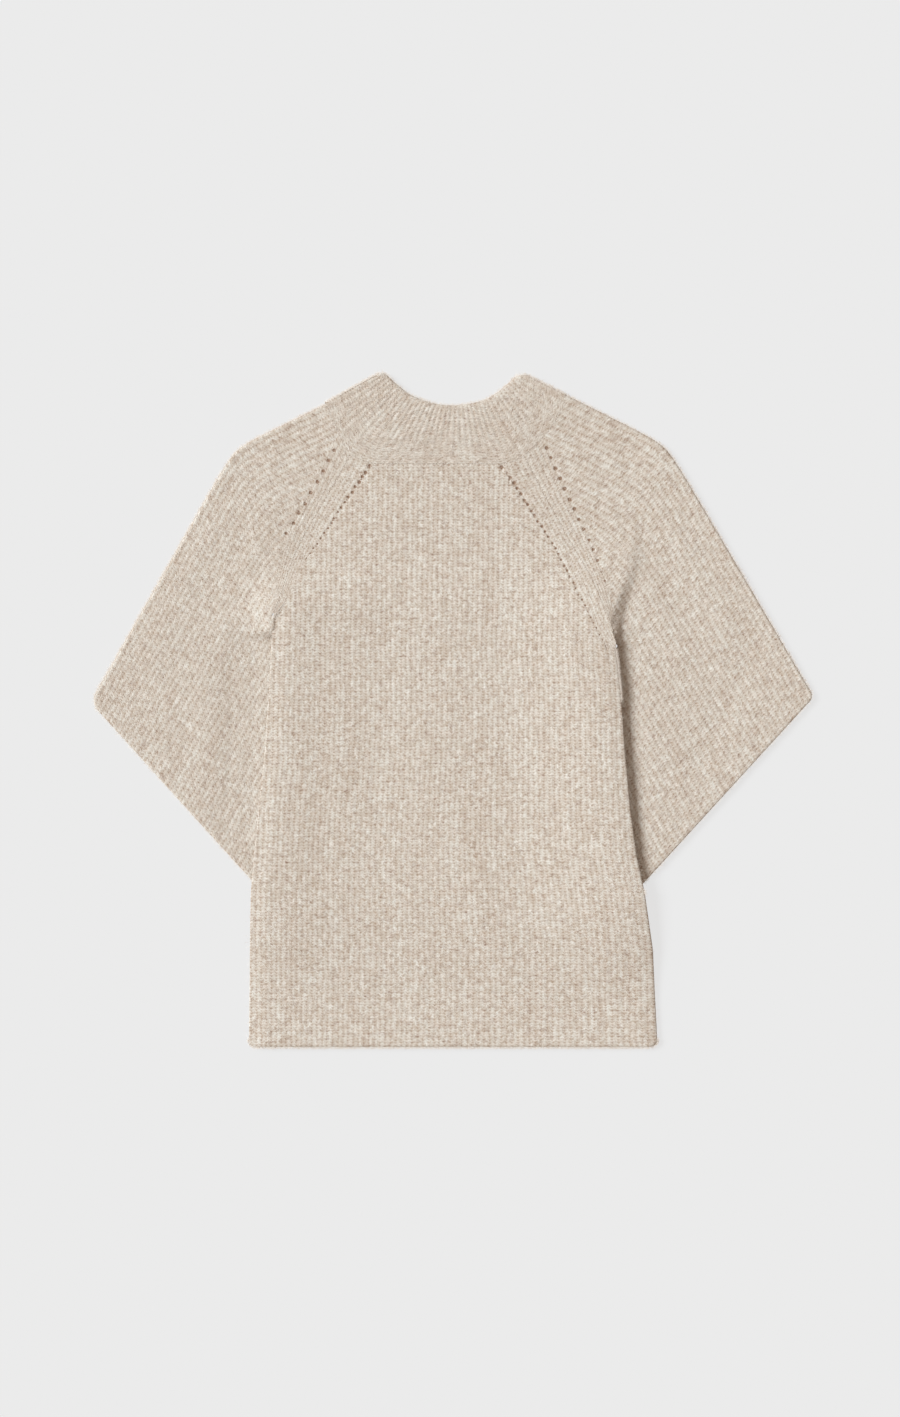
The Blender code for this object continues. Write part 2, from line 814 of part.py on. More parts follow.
def collar(material):
    """A strip round the neck: the back half on top, and both front halves folded below it."""
    skin = Skin("collar", material)
    seam, top = Curve(COLLAR_SEAM), Curve(COLLAR_TOP)
    front_seam, front_top = Curve(FRONT_SEAM), Curve(COLLAR_FRONT_TOP)
    last = 2 * COLLAR_RIBS
    upper = COLLAR_WALL + LAYER_GAP
    height = upper + COLLAR_WALL
    middle = height / 2
    outer, inner = [], []

    def section(low, high, outer_z, inner_z, outward=(0.0, 0.0), bulge=0.0):
        """Points across the strip, from the seam to the top edge, outside and inside."""
        ids = []
        for number, share in enumerate(COLLAR_ROWS):
            x, y = mix_points(low, high, share)
            rolled = number in (0, len(COLLAR_ROWS) - 1)
            z = mix(outer_z, inner_z, COLLAR_ROLL) if rolled else outer_z
            reach = bulge * (1 - COLLAR_ROLL if rolled else 1.0)
            ids.append(skin.add(x + outward[0] * reach, y + outward[1] * reach, z))
        outer.append(ids)
        inner.append([skin.add(*low, inner_z), skin.add(*high, inner_z)])

    def fold(low, high, turn):
        """The strip turning over a side fold. turn is 1 from below to above, else -1."""
        run, rise = high[0] - low[0], high[1] - low[1]
        span = math.hypot(run, rise)
        side = -1 if low[0] < 0 else 1
        outward = (side * abs(rise) / span, abs(run) / span)
        for angle in COLLAR_FOLD_ANGLES[::-turn]:
            rad = math.radians(angle)
            section(
                low, high, middle + middle * math.sin(rad),
                middle + LAYER_GAP / 2 * math.sin(rad), outward, COLLAR_FOLD * math.cos(rad),
            )

    def opening(y):
        return read(OPENING, y)[0]

    def front_half(side):
        spread = [step / FRONT_STEPS for step in range(FRONT_STEPS + 1)]
        centre = [line.share_of((opening(300.0), line.y_at(opening(300.0))))
                  for line in (front_seam, front_top)]
        stations = []
        for step in spread:
            if side == "left":
                shares = [mix(0.0, c, step) for c in centre]
            else:
                shares = [mix(1.0, c, step) for c in centre]
            low = front_seam.beside(shares[0], -SEAM_GAP)
            high = front_top.beside(shares[1])
            if step == 1.0:
                shift = SEAM_GAP if side == "right" else -SEAM_GAP
                low = (opening(229.0) + shift, low[1])
                high = (opening(300.0) + shift, high[1])
            stations.append((low, high))
        return stations

    left, right = front_half("left"), front_half("right")
    for low, high in left[::-1]:
        section(low, high, 0.0, COLLAR_WALL)
    fold(*left[0], 1)
    for c in range(last + 1):
        low = seam.beside(c / last, -SEAM_GAP / 2)
        high = top.beside(c / last)
        rise = COLLAR_RISE if c % 2 else 0.0
        section(low, high, height + rise, upper)
    fold(*right[0], -1)
    for low, high in right:
        section(low, high, 0.0, COLLAR_WALL)

    skin.grid(outer)
    fine = FRONT_STEPS + 1 + len(COLLAR_FOLD_ANGLES)
    marks = [*range(fine), *range(fine, fine + last, 4), *range(fine + last, len(inner))]
    for start, stop in zip(marks, marks[1:]):
        low_edge = [pair[0] for pair in inner[start:stop + 1]]
        high_edge = [pair[1] for pair in inner[start:stop + 1]]
        skin.face([*low_edge, *high_edge[::-1]])
    skin.wall([ids[0] for ids in outer], [pair[0] for pair in inner])
    skin.wall([ids[-1] for ids in outer], [pair[1] for pair in inner])
    for ids, pair in ((outer[0], inner[0]), (outer[-1], inner[-1])):
        skin.face([*ids, *pair[::-1]])
    return skin


def main():
    for obj in list(bpy.data.objects):
        bpy.data.objects.remove(obj)
    body = knit("oatmeal_rib_knit", OATMEAL)
    trim = knit("oatmeal_front_band", OATMEAL_BAND)
    skins = [back(body), *fronts(body, trim), sleeve("left", body), sleeve("right", body)]
    skins.append(collar(body))
    everything = [point for skin in skins for point in skin.points]
    low = [min(point[axis] for point in everything) for axis in range(3)]
    high = [max(point[axis] for point in everything) for axis in range(3)]
    centre = Vector(((low[0] + high[0]) / 2, (low[1] + high[1]) / 2, low[2]))
    for skin in skins:
        make(skin, centre)


main()
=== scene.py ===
import math

import bpy
import bmesh
import numpy as np
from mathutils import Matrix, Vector


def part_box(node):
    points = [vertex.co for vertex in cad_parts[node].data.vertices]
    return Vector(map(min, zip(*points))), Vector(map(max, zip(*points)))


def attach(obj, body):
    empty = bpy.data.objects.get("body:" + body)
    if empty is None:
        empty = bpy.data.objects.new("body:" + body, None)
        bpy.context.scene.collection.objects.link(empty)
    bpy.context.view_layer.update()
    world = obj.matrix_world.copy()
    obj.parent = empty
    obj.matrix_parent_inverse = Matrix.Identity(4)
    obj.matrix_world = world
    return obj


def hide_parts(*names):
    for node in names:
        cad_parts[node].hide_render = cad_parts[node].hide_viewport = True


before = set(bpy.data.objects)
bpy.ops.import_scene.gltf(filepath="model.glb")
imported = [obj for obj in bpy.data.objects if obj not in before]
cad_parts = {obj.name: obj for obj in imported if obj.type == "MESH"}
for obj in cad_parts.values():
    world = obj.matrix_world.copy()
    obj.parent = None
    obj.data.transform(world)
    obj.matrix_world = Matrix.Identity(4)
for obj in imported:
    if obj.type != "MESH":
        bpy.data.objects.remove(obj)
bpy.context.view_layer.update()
print("solids loaded")

mm = 0.001

# Sizes of the cloth in mm, the same as the solids' own
cloth = {
    "wall": 2.3,            # wall between two ribs
    "ribRise": 0.12,        # how far a rib stands over it, as its fuzz fills the grooves
    "lowerWall": 2.9,       # the layer that lies on the table
    "upperLevel": 3.4,      # underside of the layer above it
    "sleeveTop": 6.6,
    "seamGap": 0.06,
    "ribPitch": 5.5,
    "coursePitch": 3.2,
    "bandRibs": 4,          # ribs that run along each raglan
    "bandWidth": 17.6,      # where they lie closer together than over this width they are lower
    "seamEdge": (1.2, 0.08),    # radius and drop of a panel's edge along a raglan
    "softRange": (-0.5, 1.4),   # how far creases and unevenness may go down and up
    "headRows": (0.0, 0.9, 1.8, 2.8, 4.2, 6.6),     # rows of points from the head of a rib
    "footRows": (4.6, 2.6, 1.3, 0.5, 0.0),          # and before its foot
    "middleRows": {"back": 66, "sleeve": 46, "front": 44},      # and how many between them
}
ribPitch, seamGap = cloth["ribPitch"], cloth["seamGap"]

# The body: the back on top, the fronts below it
body = {
    "ribs": 73,
    "ribsAt": ((-371.5, 74.0), (-200.0, 73.0), (22.0, 69.0), (132.0, 67.3)),    # y, ribs
    "columnsPerRib": 6,
    "hemY": -371.5,
    "hemSpread": 0.11,      # the ribs open out more towards the right corner of the hem
    "hemCorner": 8.0,
    "hemEdge": (3.0, 1.7),      # radius, drop
    "neckEdge": (1.6, 0.15),
    "hemWidth": 451.0,
    "backLift": (8.0, 11.4),    # how far the back rises over the left and the right sleeve
    "backMiddle": 4.4,      # and between them
    "frontLift": 7.1,
    "liftRibs": 8,          # ribs from each side that lie on a sleeve
    "rampRibs": 6,          # ribs over which the fronts come down again
    "backRamp": (2.0, 25.0),    # ribs from each side between which the back comes down
    # each side edge goes down softly over this width by this much, then with this radius and drop
    "edgeRoll": {"left": (20.0, 1.3, 3.0, 0.3), "right": (16.0, 0.7, 4.0, 1.2)},
    "middle": (0.2, 0.8),       # shares of the width between which left turns into right
    "armpitRise": (65.0, 125.0),    # over how many mm above an armpit the back comes down
    "frontRise": 25.0,
    # y, x of the left side, x of the right side
    "sides": (
        (-371.5, -226.1, 225.0),
        (-264.0, -224.8, 219.5),
        (-200.0, -223.5, 210.0),
        (-157.0, -219.8, 200.5),
        (-109.0, -215.0, 194.5),
        (-49.0, -208.5, 188.7),
        (22.0, -203.5, 183.5),
        (72.0, -200.8, 178.0),
        (108.0, -198.0, 178.0),
        (290.0, -195.0, 178.5),
    ),
    # where the lift ends below the sleeves: share of the width, y where it starts to fall, y of its end
    "liftEnds": (
        (0.0, -196.0, -322.0),
        (8 / 73, -215.0, -330.0),
        (65 / 73, -215.0, -330.0),
        (1.0, -200.0, -325.0),
    ),
    "openingTop": (-10.0, 229.0),
    "openingFoot": (-1.0, -371.5),
    "frontBand": 26.0,
    "bandSteps": 17,
    "stepsPerBandRib": 2.4,
    "frontFirstRib": 0.14,      # its side edge lies a little inside the back's
    "frontRibs": 28,
    "stepsPerFrontRib": 4,
    "frontInset": (0.6, 2.0),   # how far its head and its hem stay behind the back's
    "frontEdge": (3.0, 1.0),    # radius, drop
    "frontRelief": (0.45, 0.25),    # height of the ribs of a front and of its band
    "frontBandWall": 0.2,       # how much thicker the band is
}

# The collar, from its seam up to its top edge. x, y
seamLeft = ((-141.4, 339.1), (-132.6, 319.3), (-123.8, 299.5), (-116.8, 287.5), (-113.5, 282.5))
seamRight = (
    (77.6, 281.2), (81.5, 284.6), (93.0, 296.2), (108.4, 313.7), (119.5, 333.6), (122.3, 348.4),
)
collar = {
    "ribs": 40,
    "columnsPerRib": 6,
    "wall": 3.3,
    "ribRise": 0.4,
    "foldBulge": 0.3,
    "seamRise": (0.85, 28.0),   # how far back and sleeves rise to the seam, and within how many mm
    "peakRadius": (7.0, 10.0),
    "seam": (
        *seamLeft, (-93.0, 273.6), (-70.0, 272.4), (-20.0, 272.2), (40.0, 272.2), (60.0, 273.2),
        *seamRight,
    ),
    "backY": 273.6,
    "frontSeam": (
        *seamLeft, (-88.0, 250.0), (-50.0, 232.0), (-10.0, 228.0), (30.0, 233.0), (58.0, 252.0),
        *seamRight,
    ),
    "top": (
        (-77.6, 374.0), (-62.0, 359.2), (-45.0, 347.0), (-20.0, 338.6), (2.0, 336.9),
        (30.0, 341.5), (50.0, 352.5), (62.0, 363.0), (73.0, 373.2),
    ),
    "frontTop": (
        (-77.6, 374.0), (-58.0, 330.0), (-32.0, 303.0), (-8.0, 297.0), (18.0, 303.0),
        (48.0, 330.0), (73.0, 373.2),
    ),
    "openingY": (229.0, 300.0),     # of its seam and of its top edge at the front opening
    "frontSteps": 43,               # sections along each front half
    "shareRows": (0.0, 0.008, 0.025, 0.05, *np.linspace(0.1, 0.9, 13), 0.94, 0.97, 0.99, 1.0),
    "foldTurns": (-78, -60, -40, -20, 0, 20, 40, 60, 78),       # degrees round a side fold
    "foldPitch": 0.2,               # ribs from one section to the next, round a side fold
    "frontPitch": 0.45,             # and along a front half
    "topEdge": (2.6, 1.0),          # radius, share of the wall that it takes off
    "seamEdge": (3.0, 0.08),
    "ribsFade": (7.0, 45.0),        # mm from the top edge and from the seam at which ribs are full
    "softFade": (6.0, 4.0),         # and creases
}

# The sleeves, each folded along its shoulder line. x, y
sleeves = {
    "left": {
        "out": -1.0,
        "raglan": (
            (-197.7, 108.6), (-190.9, 127.5), (-179.9, 159.8), (-165.6, 192.0),
            (-148.0, 222.0), (-128.5, 255.0), (-113.5, 282.5),
        ),
        "backBand": (
            (-198.2, 102.5), (-184.5, 122.0), (-173.3, 146.6), (-162.3, 167.5),
            (-142.5, 197.8), (-124.9, 225.8), (-105.1, 254.4), (-93.0, 273.6),
        ),
        "sleeveBand": (
            (-126.5, 306.0), (-140.5, 277.0), (-155.0, 247.5), (-170.0, 217.5),
            (-184.0, 192.0), (-193.0, 150.0), (-201.5, 104.5),
        ),
        "underarm": ((-193.0, 96.0), (-186.0, 30.0), (-175.0, -44.0), (-180.0, -130.0), (-189.0, -204.0)),
        # y, x of the foot of the fold that stands above the armpit, its height
        "armpitFold": (
            (80.0, -252.0, 0.0), (110.0, -249.0, 6.6), (122.0, -244.0, 6.0), (138.0, -235.0, 4.4),
            (158.0, -223.0, 2.3), (180.0, -210.0, 0.7), (205.0, -192.0, 0.0),
        ),
        "foldFlank": 52.0,
        "backBandRibs": 20,
        "shoulder": (-241.6, 290.5),
        "cuffReach": (308.5, 313.0),    # along the fold, along the underarm
        "cuffCorner": 11.0,             # how round the tip of the cuff is
        "foldSlope": 0.315,
        "ribs": 51,
        "ribRise": 0.11,
    },
    "right": {
        "out": 1.0,
        "raglan": (
            (178.0, 74.5), (166.7, 110.3), (150.2, 148.8), (127.1, 189.5),
            (113.3, 213.7), (99.6, 238.5), (77.6, 281.2),
        ),
        "backBand": (
            (177.9, 68.0), (158.0, 88.0), (142.5, 120.2), (128.2, 148.8), (117.2, 168.6),
            (98.5, 200.5), (82.0, 226.9), (64.4, 256.0), (57.0, 272.9),
        ),
        "sleeveBand": (
            (97.0, 300.5), (107.0, 277.0), (119.0, 250.0), (135.0, 215.0),
            (153.0, 177.0), (167.5, 141.0), (176.0, 108.0), (182.0, 70.0),
        ),
        "underarm": ((174.5, 62.0), (173.0, 20.0), (163.0, -44.0), (170.0, -130.0), (180.0, -204.0)),
        "armpitFold": (
            (77.0, 183.0, 0.0), (85.0, 184.5, 7.6), (100.0, 188.0, 7.4), (121.0, 194.0, 6.2),
            (140.0, 201.0, 4.6), (165.0, 209.0, 2.8), (185.0, 211.0, 1.2), (208.0, 212.0, 0.0),
        ),
        "foldFlank": 15.0,
        "backBandRibs": 24,
        "shoulder": (234.8, 293.7),
        "cuffReach": (309.0, 312.0),
        "cuffCorner": 6.5,
        "foldSlope": 0.300,
        "ribs": 46,
        "ribRise": 0.15,
    },
}
sleeveForm = {
    "turn": math.radians(43.0),     # mean slope of the shoulder fold below the level
    "foldRadius": 14.0,
    "ribRadius": 40.0,              # the ribs well inside turn more softly than the fold
    "ribLag": 28.0,                 # and this much later
    "ribDepth": 90.0,
    "columnsPerRib": 6,
    "noseRadius": 1.9,              # of the rounded edge along the fold
    "noseRibs": (0.04, 0.1, 0.2, 0.34),
    "slotFrom": 0.75,               # ribs from the fold at which the two layers part
    "cuffEdge": (3.0, 1.2),         # radius, drop
    "tuck": 12.0,                   # mm over which a sleeve flattens under the body's side
    "headRows": (0.0, 1.2, 2.6, 4.4, 6.6, 9.2, 12.0, 15.0, 18.5, 22.0, 26.0),
}

# Eyelets of the fully fashioned raglans, from the collar down to the armpit: points of each row
eyelets = {
    "radius": 2.4,          # mm
    "depth": 1.3,
    "scatter": 0.7,         # how far each may lie from its place
    "spread": (0.85, 1.15),     # of their radii
    "sleeve_left": {
        "row": ((-132.6, 287.4), (-143.0, 266.0), (-157.5, 240.0), (-170.5, 217.0), (-184.8, 195.0)),
        "count": 9,
        "open": (0.95, 0.9, 0.8),       # how open the first one is, one a fifth of the way down, the last
        "clear": 3.4,                   # mm from a centre at which there is plain knit again
    },
    "sleeve_right": {
        "row": ((101.8, 289.6), (110.0, 271.0), (123.0, 243.0), (139.0, 209.0), (155.0, 174.0),
                (166.7, 142.2)),
        "count": 14,
        "open": (1.0, 0.95, 0.7),
        "clear": 3.4,
    },
    "back_left": {
        "row": ((-93.0, 268.7), (-105.1, 251.0), (-124.9, 222.8), (-142.5, 195.5), (-162.3, 167.5)),
        "count": 19,
        "open": (1.1, 0.8, 0.4),
        "clear": 2.6,
    },
    "back_right": {
        "row": ((53.4, 267.6), (64.4, 252.5), (82.0, 224.9), (107.3, 187.3), (117.4, 168.6),
                (142.5, 118.8), (170.0, 65.2)),
        "count": 34,
        "open": (1.1, 0.75, 0.35),
        "clear": 2.6,
    },
}

noEyelet = (0.0, 0.0, 3.0)

# Where each piece starts in the knit's own map, in mm, so that no two share a stretch of yarn
placeFrom = {"backBand": 1100.0, "sleeveBand": 1650.0, "sleeve": 2200.0, "front": 3300.0,
             "collar": 4400.0, "stitches": 5500.0}

# Soft troughs and ridges in mm: start x, y, end x, y, half width, height
creases = {
    "back": (
        (-150.0, 90.0, -146.0, -190.0, 16.0, -0.4),
        (118.0, 130.0, 150.0, -30.0, 14.0, 0.35),
        (-60.0, 240.0, -120.0, 60.0, 22.0, 0.3),
        (40.0, 200.0, 30.0, -40.0, 30.0, -0.3),
        (-30.0, -60.0, 60.0, -250.0, 34.0, 0.35),
        (-190.0, -280.0, -60.0, -330.0, 18.0, -0.3),
        (110.0, -300.0, 215.0, -260.0, 16.0, 0.3),
    ),
    "sleeve_left": (
        (-231.0, 60.0, -236.0, -125.0, 15.0, -2.0),
        (-272.0, 40.0, -277.0, -110.0, 17.0, 0.7),
        (-250.0, 250.0, -330.0, 60.0, 18.0, 0.6),
        (-205.0, 215.0, -250.0, 90.0, 13.0, 0.7),
        (-300.0, -20.0, -262.0, -110.0, 16.0, -0.6),
        (-215.0, 290.0, -300.0, 180.0, 12.0, -0.5),
    ),
    "sleeve_right": (
        (196.0, 60.0, 204.0, -120.0, 11.0, -0.7),
        (215.0, 250.0, 300.0, 90.0, 18.0, 0.6),
        (195.0, 175.0, 250.0, 60.0, 14.0, 0.7),
        (330.0, 60.0, 270.0, -60.0, 17.0, -0.6),
        (190.0, 285.0, 290.0, 175.0, 12.0, -0.5),
    ),
    "collar": (
        (-95.0, 350.0, -70.0, 300.0, 9.0, 0.4),
        (-20.0, 330.0, -15.0, 280.0, 12.0, -0.35),
        (60.0, 330.0, 75.0, 300.0, 9.0, 0.4),
    ),
}

# The solids' middle on this layout: the left hem corner of the back is where both agree
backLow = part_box("back")[0]
layoutMiddle = (body["sides"][0][1] - backLow.x / mm, body["hemY"] - backLow.y / mm)


def ease(share):
    share = np.clip(share, 0, 1)
    return share * share * (3 - 2 * share)


def mixed(first, second, share):
    return first + (second - first) * share


# The other columns of a table, at these places in its first column
def read(table, place):
    first, *others = np.array(table).T
    return [np.interp(place, first, other) for other in others]


# Plain knit: no eyelet near
def plain(*shape):
    return np.zeros((*shape, 3)) + noEyelet


# A smooth line through a few corners
def smoothLine(corners, steps=12):
    corners = np.array(corners, float)
    ends = np.vstack([corners[:1], corners, corners[-1:]])
    share = np.linspace(0, 1, steps, endpoint=False)[:, None]
    parts = []
    for before, start, stop, after in zip(ends, ends[1:], ends[2:], ends[3:]):
        parts.append((
            2 * start
            + (stop - before) * share
            + (2 * before - 5 * start + 4 * stop - after) * share ** 2
            + (3 * start - 3 * stop + after - before) * share ** 3
        ) / 2)
    return np.vstack([*parts, corners[-1:]])


def lengthsOf(line):
    steps = np.linalg.norm(np.diff(line, axis=0), axis=1)
    return np.concatenate([[0.0], np.cumsum(steps)])


# Points at these shares of a line's length, moved aside to the right of it
def alongLine(line, share, aside=0.0):
    lengths = lengthsOf(line)
    wanted = np.clip(share, 0, 1) * lengths[-1]

    def at(length):
        return np.stack([np.interp(length, lengths, line[:, axis]) for axis in (0, 1)], -1)

    run = at(wanted + 1.0) - at(wanted - 1.0)
    run /= np.linalg.norm(run, axis=-1, keepdims=True)
    return at(wanted) + aside * np.stack([run[..., 1], -run[..., 0]], -1)


def shareNear(line, point):
    fine = smoothLine(line, 4)
    nearest = np.argmin(np.linalg.norm(fine - np.array(point), axis=1))
    return lengthsOf(fine)[nearest] / lengthsOf(fine)[-1]


# Height of the cloth over its wall for a place counted in ribs: round crests, soft grooves
def ribCrest(ribNumber):
    return np.abs(np.sin(np.pi * ribNumber)) ** 1.3


# Slow unevenness of cloth that was laid down by hand, in mm
def settled(x, y, seed):
    chance = np.random.default_rng(seed)
    height = np.zeros(np.shape(x))
    for _ in range(9):
        wave = chance.uniform(55, 140)
        turn = chance.uniform(0, 2 * np.pi)
        shift = chance.uniform(0, 2 * np.pi)
        along = x * np.cos(turn) + y * np.sin(turn)
        height += 0.03 * np.sin(2 * np.pi * along / wave + shift)
    return height


# Distance from a straight line between two points
def apartFrom(x, y, start, stop):
    runX, runY = stop[0] - start[0], stop[1] - start[1]
    share = ((x - start[0]) * runX + (y - start[1]) * runY) / (runX * runX + runY * runY)
    share = np.clip(share, 0, 1)
    return np.hypot(x - start[0] - share * runX, y - start[1] - share * runY)


def creased(x, y, table):
    height = np.zeros(np.shape(x))
    for *ends, width, rise in table:
        height += rise * np.exp(-(apartFrom(x, y, ends[:2], ends[2:]) / width) ** 2)
    return height


# Where each point lies from the nearest eyelet of these rows, counted in that eyelet's radius. The
# third number grows some way out, so that no hole appears midway between two.
def toEyelet(x, y, names):
    nearest = np.full(np.shape(x), np.inf)
    offset = plain(*np.shape(x))
    for name in names:
        made = eyelets[name]
        chance = np.random.default_rng(made["count"])
        shares = np.linspace(0, 1, made["count"])
        scatter = chance.uniform(-eyelets["scatter"], eyelets["scatter"], (made["count"], 2))
        centres = alongLine(smoothLine(made["row"], 6), shares) + scatter
        radii = eyelets["radius"] * chance.uniform(*eyelets["spread"], made["count"])
        radii *= np.interp(shares, (0.0, 0.2, 1.0), made["open"])
        for (centreX, centreY), radius in zip(centres, radii):
            away = np.hypot(x - centreX, y - centreY)
            outside = noEyelet[2] * ease((away - made["clear"]) / 0.8)
            spot = np.stack([(x - centreX) / radius, (y - centreY) / radius, outside], -1)
            offset = np.where((away < nearest)[..., None], spot, offset)
            nearest = np.minimum(away, nearest)
    return offset


def sunk(offset):
    return eyelets["depth"] * (1 - ease(np.linalg.norm(offset, axis=-1) / 1.2))


# Back and sleeves rise a little to the collar, which is doubled and so thicker
def collarRise(x, y):
    rise, reach = collar["seamRise"]
    line = smoothLine(collar["seam"], 3)
    apart = np.full(np.shape(x), reach)
    for start, stop in zip(line, line[1:]):
        apart = np.minimum(apart, apartFrom(x, y, start, stop))
    return rise * (1 - ease(apart / reach))


# A piece of knit: points of its outer and inner side, faces between them, for each face corner its
# place in mm across and along the ribs, and for each outer point where it lies from an eyelet
class Knit:
    def __init__(self):
        self.outer, self.inner, self.holes, self.faces, self.places = [], [], [], [], []
        self.count = 0

    def add(self, x, y, zOuter, zInner, holes=None, innerXY=None):
        innerX, innerY = innerXY or (x, y)
        self.outer.append(np.stack([x, y, zOuter], -1).reshape(-1, 3))
        self.inner.append(np.stack([innerX, innerY, zInner], -1).reshape(-1, 3))
        self.holes.append((plain(np.size(x)) if holes is None else holes).reshape(-1, 3))
        ids = self.count + np.arange(np.size(x)).reshape(np.shape(x))
        self.count += np.size(x)
        return ids

    def fill(self, ids, across, along):
        place = np.stack([across, along], -1)
        low, high = slice(0, -1), slice(1, None)
        corners = ((low, low), (low, high), (high, high), (high, low))
        self.faces.append(np.stack([ids[c] for c in corners], -1).reshape(-1, 4))
        self.places.append(np.stack([place[c] for c in corners], -2).reshape(-1, 4, 2))

    def sides(self):
        return np.vstack(self.outer), np.vstack(self.inner), np.vstack(self.faces)


# Closes a piece over its inner side and its rim, and makes the object
def makeShell(knit, name, material):
    outer, inner, faces = knit.sides()
    places = np.vstack(knit.places)
    count = len(outer)
    edges = np.stack([faces, np.roll(faces, -1, axis=1)], -1).reshape(-1, 2)
    edgePlaces = np.stack([places, np.roll(places, -1, axis=1)], -2).reshape(-1, 2, 2)
    keys = np.sort(edges, axis=1) @ np.array([count, 1])
    _, firstUse, uses = np.unique(keys, return_index=True, return_counts=True)
    rim = firstUse[uses == 1]
    turned = [1, 0, 0, 1]
    rimFaces = edges[rim][:, turned] + (0, 0, count, count)
    allFaces = np.vstack([faces, faces[:, ::-1] + count, rimFaces])
    allPlaces = np.vstack([places, places[:, ::-1], edgePlaces[rim][:, turned]])
    points = np.vstack([outer, inner])
    holes = np.vstack([*knit.holes, plain(count)])
    used = np.zeros(len(points), bool)
    used[allFaces.ravel()] = True
    renumber = np.cumsum(used) - 1
    isRim = np.arange(len(allFaces)) >= 2 * len(faces)
    faces = renumber[allFaces]
    return makeMesh(name, points[used], faces, allPlaces, material, holes[used], isRim)


def addObject(name, data):
    made = bpy.data.objects.new(name, data)
    bpy.context.scene.collection.objects.link(made)
    return made


def makeMesh(name, points, faces, places, material, holes=None, isRim=None):
    middle = np.array([*layoutMiddle, 0.0])
    sides = faces.shape[1]
    mesh = bpy.data.meshes.new(name)
    mesh.vertices.add(len(points))
    mesh.vertices.foreach_set("co", ((points - middle) * mm).ravel())
    mesh.loops.add(faces.size)
    mesh.loops.foreach_set("vertex_index", faces.ravel().astype(np.int32))
    mesh.polygons.add(len(faces))
    mesh.polygons.foreach_set("loop_start", np.arange(0, faces.size, sides, dtype=np.int32))
    if isRim is not None:       # a rim is shaded on its own, so that the light doesn't bend at a seam
        mesh.polygons.foreach_set("use_smooth", ~isRim)
    mesh.update(calc_edges=True)
    if places is not None:
        layer = mesh.uv_layers.new(name="knit")
        layer.data.foreach_set("uv", places.reshape(-1))
    mesh.validate()
    if places is not None:
        shape = bmesh.new()
        shape.from_mesh(mesh)
        bmesh.ops.recalc_face_normals(shape, faces=shape.faces[:])
        shape.to_mesh(mesh)
        shape.free()
    if isRim is None:
        mesh.shade_smooth()
    if holes is not None:
        attribute = mesh.attributes.new("eyelets", "FLOAT_VECTOR", "POINT")
        attribute.data.foreach_set("vector", holes.ravel())
    mesh.materials.append(material)
    return addObject(name, mesh)


def bodyX(share, y):
    left, right = read(body["sides"], y)
    spread = body["hemSpread"] * np.clip(y / body["hemY"], 0, 1)
    return mixed(left, right, share - spread * share * (1 - share))


# Ribs counted from the left side of the widest row: a few end at the sides on the way up
def bodyRib(share, y):
    here, = read(body["ribsAt"], y)
    return body["ribs"] / 2 + (share - 0.5) * here


def bodyShare(x, y):
    left, right = read(body["sides"], y)
    return (x - left) / (right - left)


# How far the body rises where it lies over the sleeves
def bodyLift(share, y, isBack=True):
    ribsIn = np.minimum(share, 1 - share) * body["ribs"]
    first, final = body["middle"]
    onRight = ease((share - first) / (final - first))
    if isBack:
        high = mixed(*body["backLift"], onRight)
        first, final = body["backRamp"]
        across = mixed(high, body["backMiddle"], ease((ribsIn - first) / (final - first)))
        rise = mixed(*body["armpitRise"], onRight)
    else:
        across = body["frontLift"] * (1 - ease((ribsIn - body["liftRibs"]) / body["rampRibs"]))
        rise = body["frontRise"]
    armpitY = mixed(sleeves["left"]["raglan"][0][1], sleeves["right"]["raglan"][0][1], onRight)
    starts, ends = read(body["liftEnds"], share)
    return across * (1 - ease((y - armpitY) / rise)) * ease((y - ends) / (starts - ends))


# Where a rib of the body meets a line that slants across it
def crossing(corners, share):
    line = smoothLine(corners)
    line = line[np.argsort(line[:, 0])]
    y = np.full(np.shape(share), line[:, 1].mean())
    for _ in range(25):
        y = np.interp(bodyX(share, y), line[:, 0], line[:, 1])
    return y


# Distances from the head of each rib, close together at the head and the foot
def ribSteps(length, middleRows, head=cloth["headRows"]):
    foot = np.array(cloth["footRows"])
    middle = np.linspace(0, 1, middleRows + 2)[1:-1]
    length = np.asarray(length)[None, :]
    between = head[-1] + (length - foot[0] - head[-1]) * middle[:, None]
    return np.vstack([np.array(head)[:, None] + 0 * length, between, length - foot[:, None]])


# The rounded drop of an edge, for a distance from it
def edgeDrop(apart, radius, drop):
    inside = np.clip(apart / radius, 0, 1)
    return drop * (1 - np.sqrt(1 - (1 - inside) ** 2))


